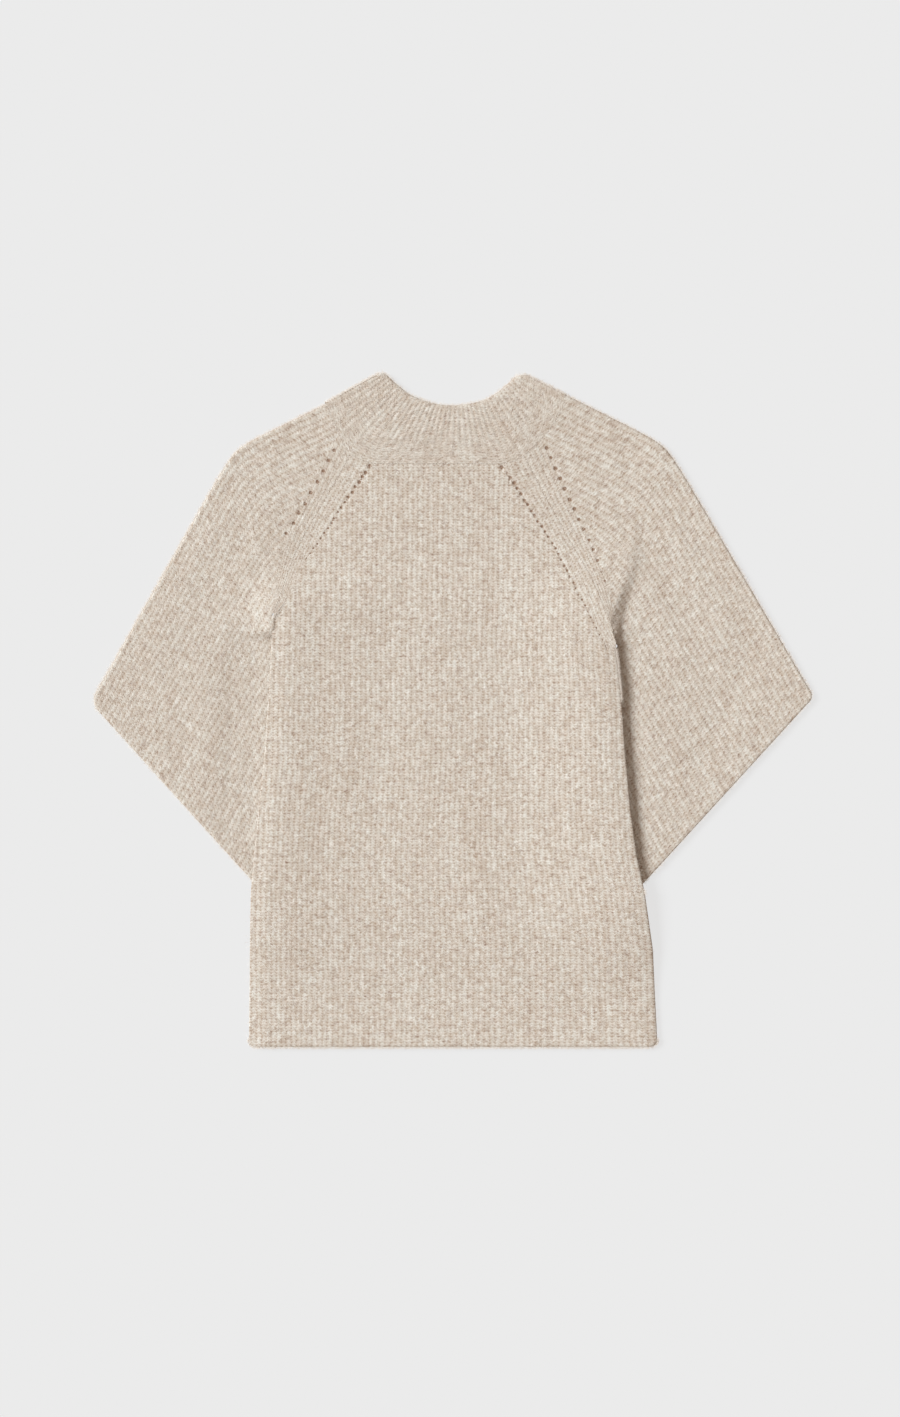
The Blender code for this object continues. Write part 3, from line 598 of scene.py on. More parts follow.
# Ribs that run along a raglan, from the points where the piece's own ribs end to the seam. The row
# at the collar follows the collar's seam.
def fashionedBand(knit, ids, start, side, level, rise, gap, perRib, firstPlace, fromCollar, lift=None):
    lengths = lengthsOf(start)
    share = lengths / lengths[-1]
    if fromCollar:
        share = 1 - share
    end = alongLine(smoothLine(side["raglan"]), share, gap * side["out"])
    steps = np.linspace(0, 1, cloth["bandRibs"] * perRib + 1)
    ribNumber = steps * cloth["bandRibs"]
    spots = mixed(start[:, None], end[:, None], steps[None, :, None])
    seam = smoothLine(collar["seam"])
    row = int(np.argmax(share))
    ends = [shareNear(seam, start[row]), shareNear(seam, end[row])]
    spots[row] = alongLine(seam, mixed(*ends, steps), seamGap / 2)
    x, y = spots[..., 0], spots[..., 1]
    width = np.linalg.norm(end - start, axis=1)[:, None]
    height = rise * ease(width / cloth["bandWidth"]) * ribCrest(ribNumber)
    height = height - edgeDrop((1 - steps) * width, *cloth["seamEdge"])
    zOuter, zInner, holes = level(x, y, height)
    if lift is not None:            # of the back: a sleeve's level has its own
        endLift = bodyLift(bodyShare(*end.T), end[:, 1])
        lift = mixed(lift[:, None], endLift[:, None], steps)
        zOuter, zInner = zOuter + lift, zInner + lift
    new = knit.add(*(values[:, 1:] for values in (x, y, zOuter, zInner, holes)))
    across = np.broadcast_to(ribNumber * ribPitch + firstPlace, x.shape)
    knit.fill(np.hstack([ids[:, None], new]), across, np.broadcast_to(lengths[:, None], x.shape))


def backKnit():
    knit = Knit()
    ribs, perRib = body["ribs"], body["columnsPerRib"]
    share = np.linspace(0, 1, ribs * perRib + 1)
    firstEnd = sleeves["left"]["backBandRibs"] * perRib
    secondEnd = (ribs - sleeves["right"]["backBandRibs"]) * perRib
    seam = smoothLine(collar["seam"])
    top = np.interp(bodyX(share, collar["backY"]), seam[:, 0], seam[:, 1]) - seamGap / 2
    top[:firstEnd] = crossing(sleeves["left"]["backBand"], share[:firstEnd])
    top[secondEnd + 1:] = crossing(sleeves["right"]["backBand"], share[secondEnd + 1:])
    ribsIn = np.minimum(share, 1 - share) * ribs
    hem = body["hemY"] + edgeDrop(ribsIn * ribPitch, body["hemCorner"], body["hemCorner"])
    down = ribSteps(top - hem, cloth["middleRows"]["back"])
    y = top - down
    x = bodyX(share, y)
    wobble = 0.35 * settled(x, y * 3, 5)
    ribNumber = bodyRib(share, y)
    inBand = (np.arange(len(share)) <= firstEnd) | (np.arange(len(share)) >= secondEnd)
    height = cloth["ribRise"] * ribCrest(ribNumber)
    height = height - edgeDrop(top - hem - down, *body["hemEdge"])
    height = height - np.where(inBand, 0.0, edgeDrop(down, *body["neckEdge"]))
    for side, apart in (("left", share * ribs), ("right", (1 - share) * ribs)):
        apart = apart * ribPitch
        width, drop, *edge = body["edgeRoll"][side]
        height = height - drop * (1 - ease(apart / width)) - edgeDrop(apart, *edge)

    def level(x, y, height):
        holes = toEyelet(x, y, ("back_left", "back_right"))
        soft = settled(x, y, 11) + creased(x, y, creases["back"]) + 0.45
        height = height + np.clip(soft, *cloth["softRange"]) + collarRise(x, y) - sunk(holes)
        return cloth["upperLevel"] + cloth["wall"] + height, cloth["upperLevel"] + 0 * x, holes

    lift = bodyLift(share, y)
    zOuter, zInner, holes = level(x, y, height)
    ids = knit.add(x + wobble * ease(ribsIn), y, zOuter + lift, zInner + lift, holes, (x, y))
    knit.fill(ids, ribNumber * ribPitch, y - body["hemY"])
    for side, first, final in (("left", 0, firstEnd), ("right", secondEnd, len(share) - 1)):
        columns = slice(first, final + 1)
        start = np.stack([x[0, columns], y[0, columns]], -1)
        fashionedBand(
            knit, ids[0, columns], start, sleeves[side], level, cloth["ribRise"], -seamGap / 2, perRib,
            placeFrom["backBand"], side == "right", lift[0, columns],
        )
    return knit


# Places on a sleeve: reach along it from the shoulder, and depth inside its fold
class SleeveShape:
    def __init__(self, side):
        self.side = side
        out = side["out"]
        sine, cosine = math.sin(sleeveForm["turn"]), math.cos(sleeveForm["turn"])
        self.along, self.inward = np.array([out * cosine, -sine]), np.array([-out * sine, -cosine])
        seam = alongLine(smoothLine(collar["seam"]), np.linspace(0, 1, 61), seamGap / 2)
        corner = side["sleeveBand"][0]
        head = seam[(seam[:, 1] > corner[1]) & (out * seam[:, 0] > 0)]
        under = smoothLine([side["sleeveBand"][-1], *side["underarm"]])
        start = np.vstack([head, smoothLine(side["sleeveBand"]), under])
        spots = self.spot(start)
        order = np.argsort(spots[:, 1])
        self.startDepth, self.startReach = spots[order, 1], spots[order, 0]
        reach, depth = self.spot(np.array(side["underarm"][-1]))
        self.fullDepth = depth - self.bend(reach, 1.0)

    def spot(self, points):
        offset = points - np.array(self.side["shoulder"])
        return np.stack([offset @ self.along, offset @ self.inward], -1)

    def point(self, reach, depth):
        axes = zip(self.side["shoulder"], self.along, self.inward)
        return [corner + reach * along + depth * inward for corner, along, inward in axes]

    def bend(self, reach, share):
        end = self.side["cuffReach"][0]
        centre = sleeveForm["ribLag"] * share
        radius = mixed(sleeveForm["foldRadius"], sleeveForm["ribRadius"], share)
        level = np.hypot(end, sleeveForm["foldRadius"]) - np.hypot(end - centre, radius)
        return self.side["foldSlope"] * (np.hypot(reach - centre, radius) + level)

    def ribDepth(self, ribNumber, reach):
        inside = self.fullDepth * ribNumber / self.side["ribs"]
        return inside + self.bend(reach, np.minimum(inside / sleeveForm["ribDepth"], 1.0))

    # Reach at which a rib starts, and at which it ends at the cuff
    def ribEnds(self, ribNumber):
        low = np.full(np.shape(ribNumber), -200.0)
        high = np.full(np.shape(ribNumber), float(self.side["cuffReach"][1]))
        for _ in range(40):
            middle = (low + high) / 2
            start = np.interp(self.ribDepth(ribNumber, middle), self.startDepth, self.startReach)
            low = np.where(middle < start, middle, low)
            high = np.where(middle < start, high, middle)
        share = ribNumber / self.side["ribs"]
        corner = self.side["cuffCorner"]
        return low, mixed(*self.side["cuffReach"], share) - edgeDrop(self.fullDepth * share, corner, corner)

    # The sleeve stands up in a soft fold beside the raglan, above the armpit
    def lift(self, x, y):
        foot, crest = read(self.side["armpitFold"], y)
        seamX = np.interp(y, *np.array(self.side["raglan"]).T[::-1])
        inside = (foot - x) * self.side["out"]
        toSeam = np.maximum((foot - seamX) * self.side["out"], 4.0)
        atSeam = bodyLift(bodyShare(seamX, y), y) * ease((y - self.side["armpitFold"][0][0]) / 10)
        flank = ease(inside / np.minimum(self.side["foldFlank"], toSeam))
        return flank * mixed(crest, atSeam, ease((inside / toSeam - 0.35) / 0.65))


def sleeveKnit(sideName):
    name, side = "sleeve_" + sideName, sleeves[sideName]
    knit = Knit()
    shape = SleeveShape(side)
    ribs, perRib = side["ribs"], sleeveForm["columnsPerRib"]
    nose, slotFrom = sleeveForm["noseRibs"], sleeveForm["slotFrom"]
    upper = np.concatenate([nose, np.arange(3, ribs * perRib + 1) / perRib])
    lower = np.concatenate([nose, np.arange(1, 2 * ribs + 1) / 2])
    signed = np.concatenate([-lower[::-1], [0.0], upper])
    ribNumber = np.abs(signed)
    below = signed < 0
    start, stop = shape.ribEnds(ribNumber)
    down = ribSteps(stop - start, cloth["middleRows"]["sleeve"], sleeveForm["headRows"])
    reach = start + down
    x, y = shape.point(reach, shape.ribDepth(ribNumber, reach))
    inSlot = np.maximum(ribNumber, slotFrom)
    slotStart, slotStop = shape.ribEnds(inSlot)
    innerReach = slotStart + down * ((slotStop - slotStart) / (stop - start))
    innerXY = shape.point(innerReach, shape.ribDepth(inSlot, innerReach))

    def levelAbove(x, y, height):
        outside = (np.abs(bodyShare(x, y) - 0.5) - 0.5) * body["hemWidth"]
        underBody = (1 - ease(outside / sleeveForm["tuck"] + 1.0)) * (y < side["raglan"][0][1])
        zInner = cloth["upperLevel"] + shape.lift(x, y) * (1 - underBody)
        soft = settled(x, y, 23 + int(side["out"])) + creased(x, y, creases[name]) + 0.4
        holes = toEyelet(x, y, (name,))
        height = height + np.clip(soft, *cloth["softRange"]) * (1 - underBody) + collarRise(x, y)
        return zInner + cloth["wall"] + height - sunk(holes), zInner, holes

    def levelBelow(x, y, height):
        return 0 * x, 0 * x + cloth["lowerWall"], plain(*x.shape)

    cuff = edgeDrop(stop - reach, *sleeveForm["cuffEdge"])
    zAbove, inAbove, holes = levelAbove(x, y, side["ribRise"] * ribCrest(ribNumber) - cuff)
    zBelow = 0.45 * (1 - ribCrest(ribNumber)) + cuff
    nearFold = 1 - np.clip(ribNumber * ribPitch / sleeveForm["noseRadius"], 0, 1)
    zOuter = mixed(cloth["sleeveTop"] / 2, np.where(below, zBelow, zAbove), np.sqrt(1 - nearFold ** 2))
    zInner = mixed(cloth["lowerWall"], inAbove, np.clip((signed / slotFrom + 1) / 2, 0, 1))
    holes[:, below] = noEyelet
    ids = knit.add(x, y, zOuter, zInner, holes, innerXY)
    across = signed * ribPitch + np.zeros(x.shape)
    knit.fill(ids, across, placeFrom["sleeve"] + reach)

    corner, armpit = side["sleeveBand"][0], side["sleeveBand"][-1]
    inBand = (y[0] < corner[1]) & (y[0] > armpit[1])
    for isAbove, level, perRib in ((True, levelAbove, 6), (False, levelBelow, 2)):
        inLayer = np.flatnonzero(inBand & (below != isAbove))
        columns = slice(inLayer.min() - isAbove, inLayer.max() + 2)
        spots = np.stack([x[0, columns], y[0, columns]], -1)
        fashionedBand(
            knit, ids[0, columns], spots, side, level, side["ribRise"], seamGap / 2, perRib,
            placeFrom["sleeveBand"], isAbove,
        )
    return knit


def openingX(y):
    top, foot = body["openingTop"], body["openingFoot"]
    return np.interp(y, [foot[1], top[1]], [foot[0], top[0]])


# A front, or a front's band: its outer side lies on the table, its inner side faces the back
def frontKnit(side, isBand):
    knit = Knit()
    out = sleeves[side]["out"]
    raglan = smoothLine(sleeves[side]["raglan"])
    neck = smoothLine(collar["frontSeam"])
    neck = neck[out * (raglan[-1, 0] - neck[:, 0]) > 1]
    head = np.vstack([raglan, neck])
    head = head[np.argsort(head[:, 0])]
    if isBand:
        reach = np.linspace(body["frontBand"], seamGap / 2, body["bandSteps"])
        ribNumber = np.arange(body["bandSteps"]) / body["stepsPerBandRib"]
    else:
        perRib = body["stepsPerFrontRib"]
        steps = np.arange(1, body["frontRibs"] * perRib + 1)
        ribNumber = np.concatenate([[body["frontFirstRib"]], steps / perRib])
        share = ribNumber / body["ribs"]

    def lineX(y):
        if isBand:
            return openingX(y) + out * reach
        return bodyX(share if out < 0 else 1 - share, y)

    y = np.full(len(ribNumber), head[:, 1].mean())
    for _ in range(25):
        y = np.interp(lineX(y), head[:, 0], head[:, 1])
    headInset, hemInset = body["frontInset"]
    top = y - headInset
    length = top - body["hemY"] - hemInset
    down = ribSteps(length, cloth["middleRows"]["front"])
    y = top - down
    x = lineX(y)
    if not isBand:      # the last rib meets the band
        x = np.hstack([x, openingX(y[:, -1:]) + out * (body["frontBand"] + seamGap)])
        y, down = np.hstack([y, y[:, -1:]]), np.hstack([down, down[:, -1:]])
        length = np.append(length, length[-1])
        ribNumber = np.append(ribNumber, ribNumber[-1] + 1.2)
    lift = bodyLift(bodyShare(x, y), y, False)
    rim = edgeDrop(length - down, *body["frontEdge"])
    wall = cloth["lowerWall"] + body["frontBandWall"] * isBand
    zOuter = lift + body["frontRelief"][isBand] * (1 - ribCrest(ribNumber)) + rim
    ids = knit.add(x, y, zOuter, lift + wall - rim * 0.4)
    across = np.broadcast_to(ribNumber * ribPitch, x.shape)
    knit.fill(ids, across, y - body["hemY"] + placeFrom["front"])
    return knit


# The collar: sections from its seam to its top edge, round the neck from front end to front end
def collarKnit():
    seam, top = smoothLine(collar["seam"]), smoothLine(collar["top"])
    frontLines = smoothLine(collar["frontSeam"]), smoothLine(collar["frontTop"])
    wall = collar["wall"]
    lowTop = wall + 0.5             # underside of the back half
    height = lowTop + wall
    middle = height / 2
    stations = []                   # low x, y, high x, y, z outside, z inside, outward x, y, rib

    def station(low, high, zOut, zIn, rib, outward=(0.0, 0.0)):
        stations.append((*low, *high, zOut, zIn, *outward, rib))

    def rounded(low, high, radius):     # towards a peak the top edge turns down
        apart = np.linalg.norm(high - high[0], axis=1)[:, None]
        length = np.linalg.norm(high - low, axis=1)[:, None]
        return high - (high - low) / length * edgeDrop(apart, radius, radius * 0.8)

    def frontHalf(isRight):
        steps = np.linspace(0, 1, collar["frontSteps"])
        sideGap = seamGap if isRight else -seamGap
        x = openingX(collar["openingY"][1])
        ends = []
        for line, y, aside in zip(frontLines, collar["openingY"], (-seamGap, 0.0)):
            ordered = line[np.argsort(line[:, 0])]
            centre = shareNear(line, (x, np.interp(x, ordered[:, 0], ordered[:, 1])))
            end = alongLine(line, mixed(float(isRight), centre, steps), aside)
            end[-1, 0] = openingX(y) + sideGap
            ends.append(end)
        return ends[0], rounded(*ends, collar["peakRadius"][isRight])

    def fold(low, high, turns, ribFrom):
        run = high - low
        side = -1 if low[0] < 0 else 1
        outward = np.array([side * abs(run[1]), abs(run[0])]) / np.linalg.norm(run)
        for number, turn in enumerate(np.radians(turns)):
            bulge = outward * collar["foldBulge"] * math.cos(turn)
            zOut, zIn = middle + middle * math.sin(turn), middle + 0.25 * math.sin(turn)
            station(low, high, zOut, zIn, ribFrom + number * collar["foldPitch"], bulge)

    low, high = frontHalf(False)
    for number in reversed(range(len(low))):
        station(low[number], high[number], 0.0, wall, -2.0 - number * collar["frontPitch"])
    fold(low[0], high[0], collar["foldTurns"], -1.9)
    shares = np.linspace(0, 1, collar["ribs"] * collar["columnsPerRib"] + 1)
    backLow, backHigh = alongLine(seam, shares, -seamGap / 2), alongLine(top, shares)
    backHigh = rounded(backLow, backHigh, collar["peakRadius"][0])
    backHigh = rounded(backLow[::-1], backHigh[::-1], collar["peakRadius"][1])[::-1]
    for number, share in enumerate(shares):
        station(backLow[number], backHigh[number], height, lowTop, share * collar["ribs"])
    low, high = frontHalf(True)
    fold(low[0], high[0], collar["foldTurns"][::-1], collar["ribs"] + 0.1)
    for number in range(len(low)):
        rib = collar["ribs"] + 2.0 + number * collar["frontPitch"]
        station(low[number], high[number], 0.0, wall, rib)

    table = np.array(stations)[:, None]
    low, high, outward = table[..., 0:2], table[..., 2:4], table[..., 6:8]
    zOut, zIn, rib = table[..., 4], table[..., 5], table[..., 8]
    share = np.array(collar["shareRows"])[None]
    spots = mixed(low, high, share[..., None])
    span = np.linalg.norm(high - low, axis=-1)
    toSeam, toTop = share * span, (1 - share) * span
    roll = np.clip(edgeDrop(toTop, *collar["topEdge"]) + edgeDrop(toSeam, *collar["seamEdge"]), 0, 1)

    def faded(height, fromTop, fromSeam):
        return height * ease(toTop / fromTop) * ease(toSeam / fromSeam)

    relief = faded(collar["ribRise"] * ribCrest(rib), *collar["ribsFade"])
    x, y = spots[..., 0], spots[..., 1]
    soft = faded(settled(x, y, 31) + creased(x, y, creases["collar"]), *collar["softFade"])
    zOuter = mixed(zOut, (zOut + zIn) / 2, roll) + np.where(zOut > middle, relief + soft + 0.1, 0.0)
    spots = spots + outward * (1 - 0.5 * roll)[..., None]
    inner = mixed(low, high, np.clip(share, 0.004, 0.996)[..., None])
    knit = Knit()
    zInner = np.broadcast_to(zIn, x.shape)
    ids = knit.add(spots[..., 0], spots[..., 1], zOuter, zInner, None, (inner[..., 0], inner[..., 1]))
    knit.fill(ids, np.broadcast_to(rib * ribPitch, x.shape), placeFrom["collar"] + toSeam)
    return knit


# sRGB hex to linear
def colour(code):
    parts = [int(code[i:i + 2], 16) / 255 for i in (1, 3, 5)]
    return (*[p / 12.92 if p <= 0.04045 else ((p + 0.055) / 1.055) ** 2.4 for p in parts], 1.0)


def setInputs(node, inputs):
    for key, value in inputs.items():
        if isinstance(value, bpy.types.NodeSocket):
            node.id_data.links.new(value, node.inputs[key])
        else:
            node.inputs[key].default_value = value


# Adds a node with its settings, and sets or links its inputs
def addNode(tree, kind, inputs, **settings):
    node = tree.nodes.new("ShaderNode" + kind)
    for key, value in settings.items():
        setattr(node, key, value)
    setInputs(node, inputs)
    return node


def newMaterial(name):
    material = bpy.data.materials.new(name)
    material.use_nodes = True
    return material, material.node_tree, material.node_tree.nodes["Principled BSDF"]


wool = {
    "cream": "#d9d9d3",         # crest of a rib
    "grooveShade": "#d3cfc7",        # painted shade between two ribs
    "taupe": "#a39085",         # brown flecks of the melange
    "pale": "#eeefeb",          # cream flecks
    "eyeletShade": "#866d5b",          # painted shade of an eyelet: its dent is painted dark brown as if the shaded layer below showed through
    "roughness": 0.92,
    "sheen": 0.3,
    "fleckLength": 8.5,         # mm along a course
    "fleckHeight": 4.2,         # mm along a rib
    "bump": 0.19,               # mm
}


# Brushed mohair rib knit: soft wool yarn with a raised nap. It has no gloss, a pale sheen at
# glancing angles, cream crests, and a melange of cream and taupe flecks. Painted shade darkens
# the grooves between ribs and the gaps between stitches, and paints each eyelet's dent dark brown.
def brushedRibKnit(name, stitchDepth=1.0, ribShare=1.0, ribsFrom=None):
    material, tree, shader = newMaterial(name)
    place = addNode(tree, "UVMap", {}, uv_map="knit").outputs["UV"]

    def calc(operation, first, second=0.0, third=0.0):
        return addNode(tree, "Math", {0: first, 1: second, 2: third}, operation=operation).outputs[0]

    def times(value, factor, plus=0.0):
        return calc("MULTIPLY_ADD", value, factor, plus)

    def noise(sizeAcross, sizeAlong, detail, roughness=0.55):
        scale = (1 / sizeAcross, 1 / sizeAlong, 1.0)
        spot = addNode(tree, "Mapping", {0: place, "Scale": scale}).outputs[0]
        inputs = {"Vector": spot, "Scale": 1.0, "Detail": detail, "Roughness": roughness}
        return addNode(tree, "TexNoise", inputs, noise_dimensions="2D").outputs[0]

    def blend(kind, share, first, second):
        inputs = {0: share, 6: first, 7: second}
        return addNode(tree, "Mix", inputs, data_type="RGBA", blend_type=kind).outputs[2]

    def step(value, low, high):
        inputs = {"Value": value, "From Min": low, "From Max": high}
        return addNode(tree, "MapRange", inputs, interpolation_type="SMOOTHSTEP").outputs[0]

    def chanceAt(across, along):
        inputs = {"X": calc("FLOOR", across), "Y": calc("FLOOR", along)}
        cell = addNode(tree, "CombineXYZ", inputs).outputs[0]
        return addNode(tree, "TexWhiteNoise", {"Vector": cell}, noise_dimensions="2D").outputs[0]

    # the ribs, 5.5 mm wide, wander a little; their stitches, 3.2 mm high, have two legs that form a V
    across, along, _ = addNode(tree, "SeparateXYZ", {0: place}).outputs
    wander = times(noise(16.0, 22.0, 2.0), 2.6, -1.3)
    ribs = times(calc("ADD", across, wander), 1 / ribPitch)
    phase = calc("FRACT", ribs)
    crest = calc("SINE", times(phase, math.pi))
    legs = calc("ABSOLUTE", times(phase, 2.0, -1.0))
    jitter = times(noise(10.0, 13.0, 1.0), 0.9, times(legs, 0.5))
    courses = times(along, 1 / cloth["coursePitch"], jitter)
    stitch = times(calc("COSINE", times(courses, 2 * math.pi)), 0.5, 0.5)

    flecks = noise(wool["fleckLength"], wool["fleckHeight"], 3.0)
    paleFlecks = noise(wool["fleckLength"] * 0.8, wool["fleckHeight"] * 1.3, 3.0, 0.6)
    slubs = times(step(noise(5.0, 2.6, 2.0), 0.62, 0.74), step(flecks, 0.45, 0.6))
    cloudy = noise(13.0, 10.0, 2.0)
    fibres = noise(1.9, 0.9, 2.0, 0.6)

    strength = times(step(along, *ribsFrom), ribShare) if ribsFrom else ribShare
    # painted shade: grooves between ribs take the darker groove colour and crests take cream, standing in
    # for the shade of their relief
    light = times(calc("SUBTRACT", step(crest, 0.1, 0.95), 0.6), strength, 0.6)
    base = blend("MIX", light, colour(wool["grooveShade"]), colour(wool["cream"]))
    for share, most, tint in (
        (step(flecks, 0.5, 0.72), 0.4, "taupe"),
        (step(paleFlecks, 0.5, 0.7), 0.4, "pale"),
        (slubs, 0.75, "taupe"),
    ):
        base = blend("MIX", times(share, most), base, colour(wool[tint]))
    for share, dark in (
        (step(cloudy, 0.3, 0.7), "#faf6f4"),
        (step(fibres, 0.25, 0.75), "#ece6e1"),
        # painted shade in the gaps between stitches, strongest in the grooves
        (step(times(crest, 0.5, stitch), 0.0, 0.8), "#dacfc7"),
        (chanceAt(times(ribs, 2.0), courses), "#e5dcd4"),       # each leg of a stitch
        (chanceAt(ribs, times(along, 0.011)), "#f9f6f4"),       # each rib for 90 mm
    ):
        base = blend("MULTIPLY", 1.0, base, blend("MIX", share, colour(dark), colour("#ffffff")))

    offset = addNode(tree, "Attribute", {}, attribute_name="eyelets").outputs["Vector"]
    apart = addNode(tree, "VectorMath", {0: offset}, operation="LENGTH").outputs["Value"]
    relief = calc("MULTIPLY", crest, times(stitch, 0.6 * stitchDepth, 0.1))
    relief = times(fibres, 0.3, relief)
    bump = addNode(tree, "Bump", {"Height": relief, "Distance": wool["bump"] * mm, "Strength": 0.8})
    setInputs(shader, {
        # painted shade: inside each eyelet's dent the colour turns to the dark eyelet colour
        "Base Color": blend("MIX", step(apart, 0.7, 1.2), colour(wool["eyeletShade"]), base),
        "Normal": bump.outputs[0],
        "Roughness": times(fibres, 0.1, wool["roughness"] - 0.05),
        "Specular IOR Level": 0.2,
        "Sheen Weight": wool["sheen"],
        "Sheen Roughness": 0.45,
        "Sheen Tint": colour("#fff6ea"),
    })
    return material


fibre = {
    "cream": "#e5dfd6",
    "tan": "#d0c1b3",
    "brown": "#a28b79",
    "length": (3.5, 9.5),       # mm
    "edgeLength": (1.8, 4.2),
    "width": 0.16,
    "rise": 0.8,
}


# Loose mohair fibres of the nap: fine, pale and slightly glossy, so they catch the light
def mohairFibre(name):
    material, tree, shader = newMaterial(name)
    tone = addNode(tree, "Attribute", {}, attribute_name="tone").outputs["Fac"]
    ramp = addNode(tree, "ValToRGB", {"Fac": tone})
    stops = ramp.color_ramp.elements
    stops.new(0.6)
    for stop, tint in zip(stops, ("cream", "tan", "brown")):
        stop.color = colour(fibre[tint])
    inputs = {"Base Color": ramp.outputs[0], "Roughness": 0.7, "Specular IOR Level": 0.3}
    setInputs(shader, {**inputs, "Sheen Weight": 0.3})
    return material


# Fibres that lie on a piece's outer side, or that stand out from its edges. Each is a bent sliver
# of two triangles.
def makeNap(name, knit, count, edgeCount, seed, material):
    chance = np.random.default_rng(seed)
    outer, _, faces = knit.sides()
    corners = outer[faces]
    normal = np.cross(corners[:, 1] - corners[:, 0], corners[:, 3] - corners[:, 0])
    area = np.linalg.norm(normal, axis=1)
    flat = np.abs(normal[:, 2]) / np.maximum(area, 1e-9)
    height = corners[..., 2].mean(axis=1)
    inEyelet = np.linalg.norm(np.vstack(knit.holes)[faces], axis=-1).min(axis=1) < 1.4
    real = (area > 1e-4) & ~inEyelet
    lying = np.where(real & (flat > 0.35) & (height > 3.5), area, 0.0)
    rims = np.where(real & (flat < 0.75) & (height > 2.2), area, 0.0)
    chosen = np.concatenate([
        chance.choice(len(faces), count, p=lying / lying.sum()),
        chance.choice(len(faces), edgeCount, p=rims / rims.sum()),
    ])
    onRim = (np.arange(count + edgeCount) >= count)[:, None]
    count += edgeCount
    size = (count, 1)
    a, b = chance.random(size), chance.random(size)
    corners = corners[chosen]
    root = mixed(mixed(corners[:, 0], corners[:, 1], a), mixed(corners[:, 3], corners[:, 2], a), b)
    normal = normal[chosen] / area[chosen][:, None]
    normal = normal * np.where(normal[:, 2:3] < 0, -1, 1)
    turn = chance.uniform(0, 2 * np.pi, count)
    direction = np.stack([np.cos(turn) * 1.25, np.sin(turn), np.zeros(count)], -1)
    outward = normal * (1, 1, 0)
    outward /= np.maximum(np.linalg.norm(outward, axis=1, keepdims=True), 1e-6)
    direction = np.where(onRim, outward + 0.8 * direction, direction)
    direction -= np.where(onRim, 0.0, normal * np.sum(direction * normal, axis=1, keepdims=True))
    direction /= np.linalg.norm(direction, axis=1, keepdims=True)
    up = np.where(onRim, np.array([0.0, 0.0, 1.0]), normal)
    aside = np.cross(up, direction)
    length = chance.uniform(*fibre["length"], size)
    length = np.where(onRim, chance.uniform(*fibre["edgeLength"], size), length)
    width = fibre["width"] * chance.uniform(0.6, 1.3, size)
    bow = length * chance.normal(0, 0.13, size)
    rise = fibre["rise"] * chance.uniform(0.3, 1.0, size) * np.where(onRim, 0.4, 1.0)
    tip = root + direction * length + up * rise * chance.uniform(-0.3, 0.9, size)
    middle = root + direction * length * 0.5 + aside * bow + up * rise
    for spot in (tip, middle):
        spot[:, 2] = np.clip(spot[:, 2], root[:, 2] - 0.8, root[:, 2] + 1.6)
    root = root - direction * np.where(onRim, 1.2, 0.0) - up * 0.15
    points = np.stack([root, middle - aside * width / 2, tip, middle + aside * width / 2], 1)
    numbers = np.arange(count * 4).reshape(-1, 4)
    triangles = np.vstack([numbers[:, [0, 1, 3]], numbers[:, [1, 2, 3]]])
    nap = makeMesh(name, points.reshape(-1, 3), triangles, None, material)
    attribute = nap.data.attributes.new("tone", "FLOAT", "POINT")
    attribute.data.foreach_set("value", np.repeat(chance.beta(0.8, 1.9, count), 4))
    return nap


# The linking stitches of a seam: a row of short slanted loops, alternately to one side and the other
def linkingStitches(name, line, surface, material):
    stitch = {"pitch": 3.2, "length": 3.4, "width": 1.3, "height": 0.45, "slant": 0.5}
    line = smoothLine(line, 6)
    count = int(lengthsOf(line)[-1] / stitch["pitch"])
    shares = np.linspace(0, 1, count)
    run = alongLine(line, shares + 0.002) - alongLine(line, shares - 0.002)
    run /= np.linalg.norm(run, axis=1, keepdims=True)
    run = run[:, 0] + 1j * run[:, 1]
    run *= np.exp(1j * stitch["slant"] * np.where(np.arange(count) % 2, 1, -1))
    rings = np.linspace(0, 1, 7)[:, None]
    turns = np.linspace(0, 2 * np.pi, 7)[:-1]
    thick = np.sqrt(np.maximum(1 - (2 * rings - 1) ** 2, 0.02))
    along = (rings - 0.5) * stitch["length"] + 0 * turns
    beside = np.cos(turns) * thick * stitch["width"] / 2
    ids = np.arange(along.size).reshape(along.shape)
    after = np.roll(ids, -1, axis=1)
    loop = np.stack([ids[:-1], ids[1:], after[1:], after[:-1]], -1).reshape(-1, 4)
    points, faces = [], []
    for number, spot in enumerate(alongLine(line, shares)):
        near = surface[np.argmin(np.hypot(*(surface[:, :2] - spot).T) - 0.2 * surface[:, 2])]
        at = (along + 1j * beside) * run[number]
        z = near[2] - 0.1 + np.sin(turns) * thick * stitch["height"]
        points.append(np.stack([spot[0] + at.real, spot[1] + at.imag, z], -1).reshape(-1, 3))
        faces.append(loop + ids.size * number)
    points, faces = np.vstack(points), np.vstack(faces)
    places = points[faces][..., :2] + placeFrom["stitches"]
    return makeMesh(name, points, faces, places, material, plain(len(points)))


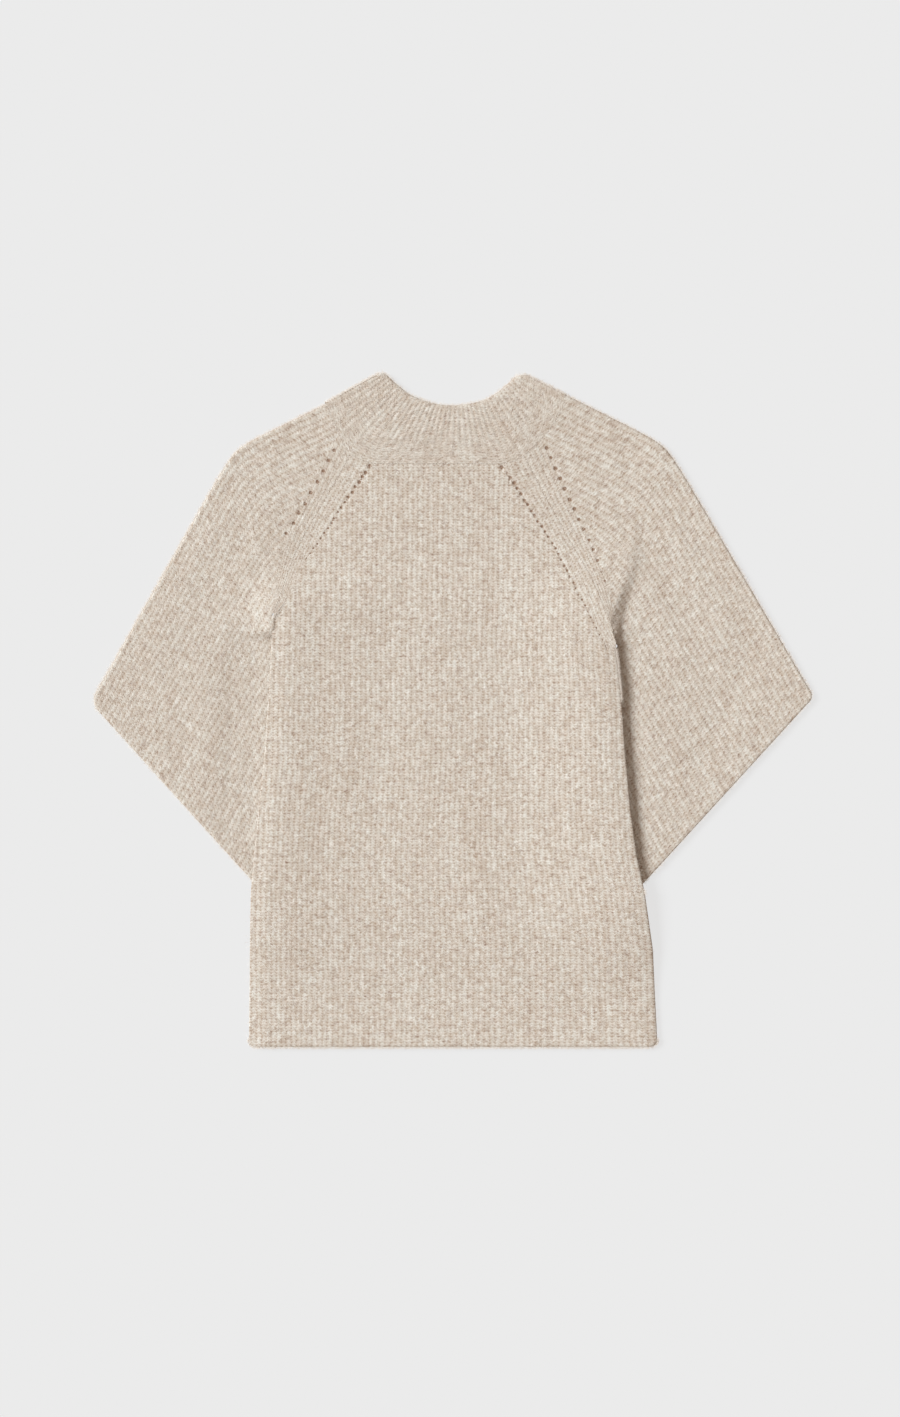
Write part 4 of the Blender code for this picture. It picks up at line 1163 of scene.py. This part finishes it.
def floorAndLight():
    studio = {
        "floor": "#ebebeb",
        "glow": 0.86,           # share of the floor's light that comes through it, as on a light table
        "light": 1.3,           # on a level surface, where 1 would make white paper white
        "skyShare": 0.34,
        "sunAngle": 26,         # degrees: how soft its shadows are
        "sunFrom": (-0.72, 0.26, 0.60),
        "sunColour": (0.944, 1.025, 1.08),
        "skyColour": (1.11, 0.945, 0.82, 1.0),
    }
    bpy.ops.mesh.primitive_plane_add(size=8, location=(0, 0, -0.0004))
    floor = bpy.context.object
    floor.name = "studio_floor"
    paper, _, shader = newMaterial("matteStudioPaper")
    full = colour(studio["floor"])
    lit = (1 - studio["glow"]) / studio["light"]
    setInputs(shader, {
        "Base Color": (*[part * lit for part in full[:3]], 1.0),
        "Emission Color": full,
        "Emission Strength": studio["glow"],
        "Roughness": 1.0,
        "Specular IOR Level": 0.0,
    })
    floor.data.materials.append(paper)

    sunData = bpy.data.lights.new("soft_window", "SUN")
    sunFrom = Vector(studio["sunFrom"]).normalized()
    sunData.energy = studio["light"] * (1 - studio["skyShare"]) * math.pi / sunFrom.z
    sunData.angle = math.radians(studio["sunAngle"])
    sunData.color = studio["sunColour"]
    sun = addObject("soft_window", sunData)
    sun.rotation_euler = sunFrom.to_track_quat("Z", "Y").to_euler()

    world = bpy.data.worlds.new("soft_studio")
    world.use_nodes = True
    skyLight = studio["light"] * studio["skyShare"]
    sky = world.node_tree.nodes["Background"]
    setInputs(sky, {"Color": studio["skyColour"], "Strength": skyLight})
    bpy.context.scene.world = world


def camera():
    lens = {"length": 85.0, "frameHeight": 1.5655, "middle": (-0.0035, 0.001)}
    data = bpy.data.cameras.new("overhead")
    data.lens = lens["length"]
    data.sensor_width = 36.0
    data.clip_end = 20.0
    overhead = addObject("overhead", data)
    far = lens["frameHeight"] / 2 / (data.sensor_width / 2 / lens["length"])
    overhead.location = (*lens["middle"], far)
    bpy.context.scene.camera = overhead


ribKnit = brushedRibKnit("brushedMohairRib")
bandKnit = brushedRibKnit("brushedMohairBand", 1.3)
collarRib = brushedRibKnit("brushedMohairCollar", 1.0, 0.6, (4402.0, 4450.0))
loose = mohairFibre("looseMohairFibres")

# Flat sizes in m as each piece is cut before it is sewn: width, length, and area of the cut;
# then how many fibres lie on it and stand out from its edges
pieces = {
    "back": (backKnit(), ribKnit, (0.46, 0.65), 0.262, (36000, 5000)),
    "sleeve_left": (sleeveKnit("left"), ribKnit, (0.58, 0.45), 0.19, (22000, 4500)),
    "sleeve_right": (sleeveKnit("right"), ribKnit, (0.58, 0.45), 0.19, (22000, 4500)),
    "collar": (collarKnit(), collarRib, (0.50, 0.07), 0.034, (9000, 2500)),
    "front_left": (frontKnit("left", False), ribKnit, (0.20, 0.65), 0.107, None),
    "front_right": (frontKnit("right", False), ribKnit, (0.20, 0.65), 0.107, None),
    "front_band_left": (frontKnit("left", True), bandKnit, (0.026, 0.60), None, None),
    "front_band_right": (frontKnit("right", True), bandKnit, (0.026, 0.60), None, None),
}
# The seam that is stitched with a piece: its name, its line, the pieces that it joins
seams = {
    "sleeve_left": ("raglan_left", sleeves["left"]["raglan"], ("back", "sleeve_left")),
    "sleeve_right": ("raglan_right", sleeves["right"]["raglan"], ("back", "sleeve_right")),
    "collar": ("collar_seam", collar["seam"], ("back", "collar", "sleeve_left", "sleeve_right")),
}
for number, (name, (knit, material, flat, area, fibres)) in enumerate(pieces.items()):
    piece = makeShell(knit, name + "_knit", material)
    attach(piece, "root")
    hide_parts(name)
    withPieces = []
    if fibres:
        withPieces.append(makeNap(name + "_nap", knit, *fibres, 40 + number, loose))
    if name in seams:
        seam, line, joined = seams[name]
        surface = np.vstack([pieces[key][0].sides()[0] for key in joined])
        withPieces.append(linkingStitches(seam + "_stitches", line, surface, material))
    for extra in withPieces:
        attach(extra, "root")
    print(name, len(piece.data.polygons), "faces")

floorAndLight()
camera()
bpy.context.scene.view_settings.view_transform = "Standard"

print("scene ready")
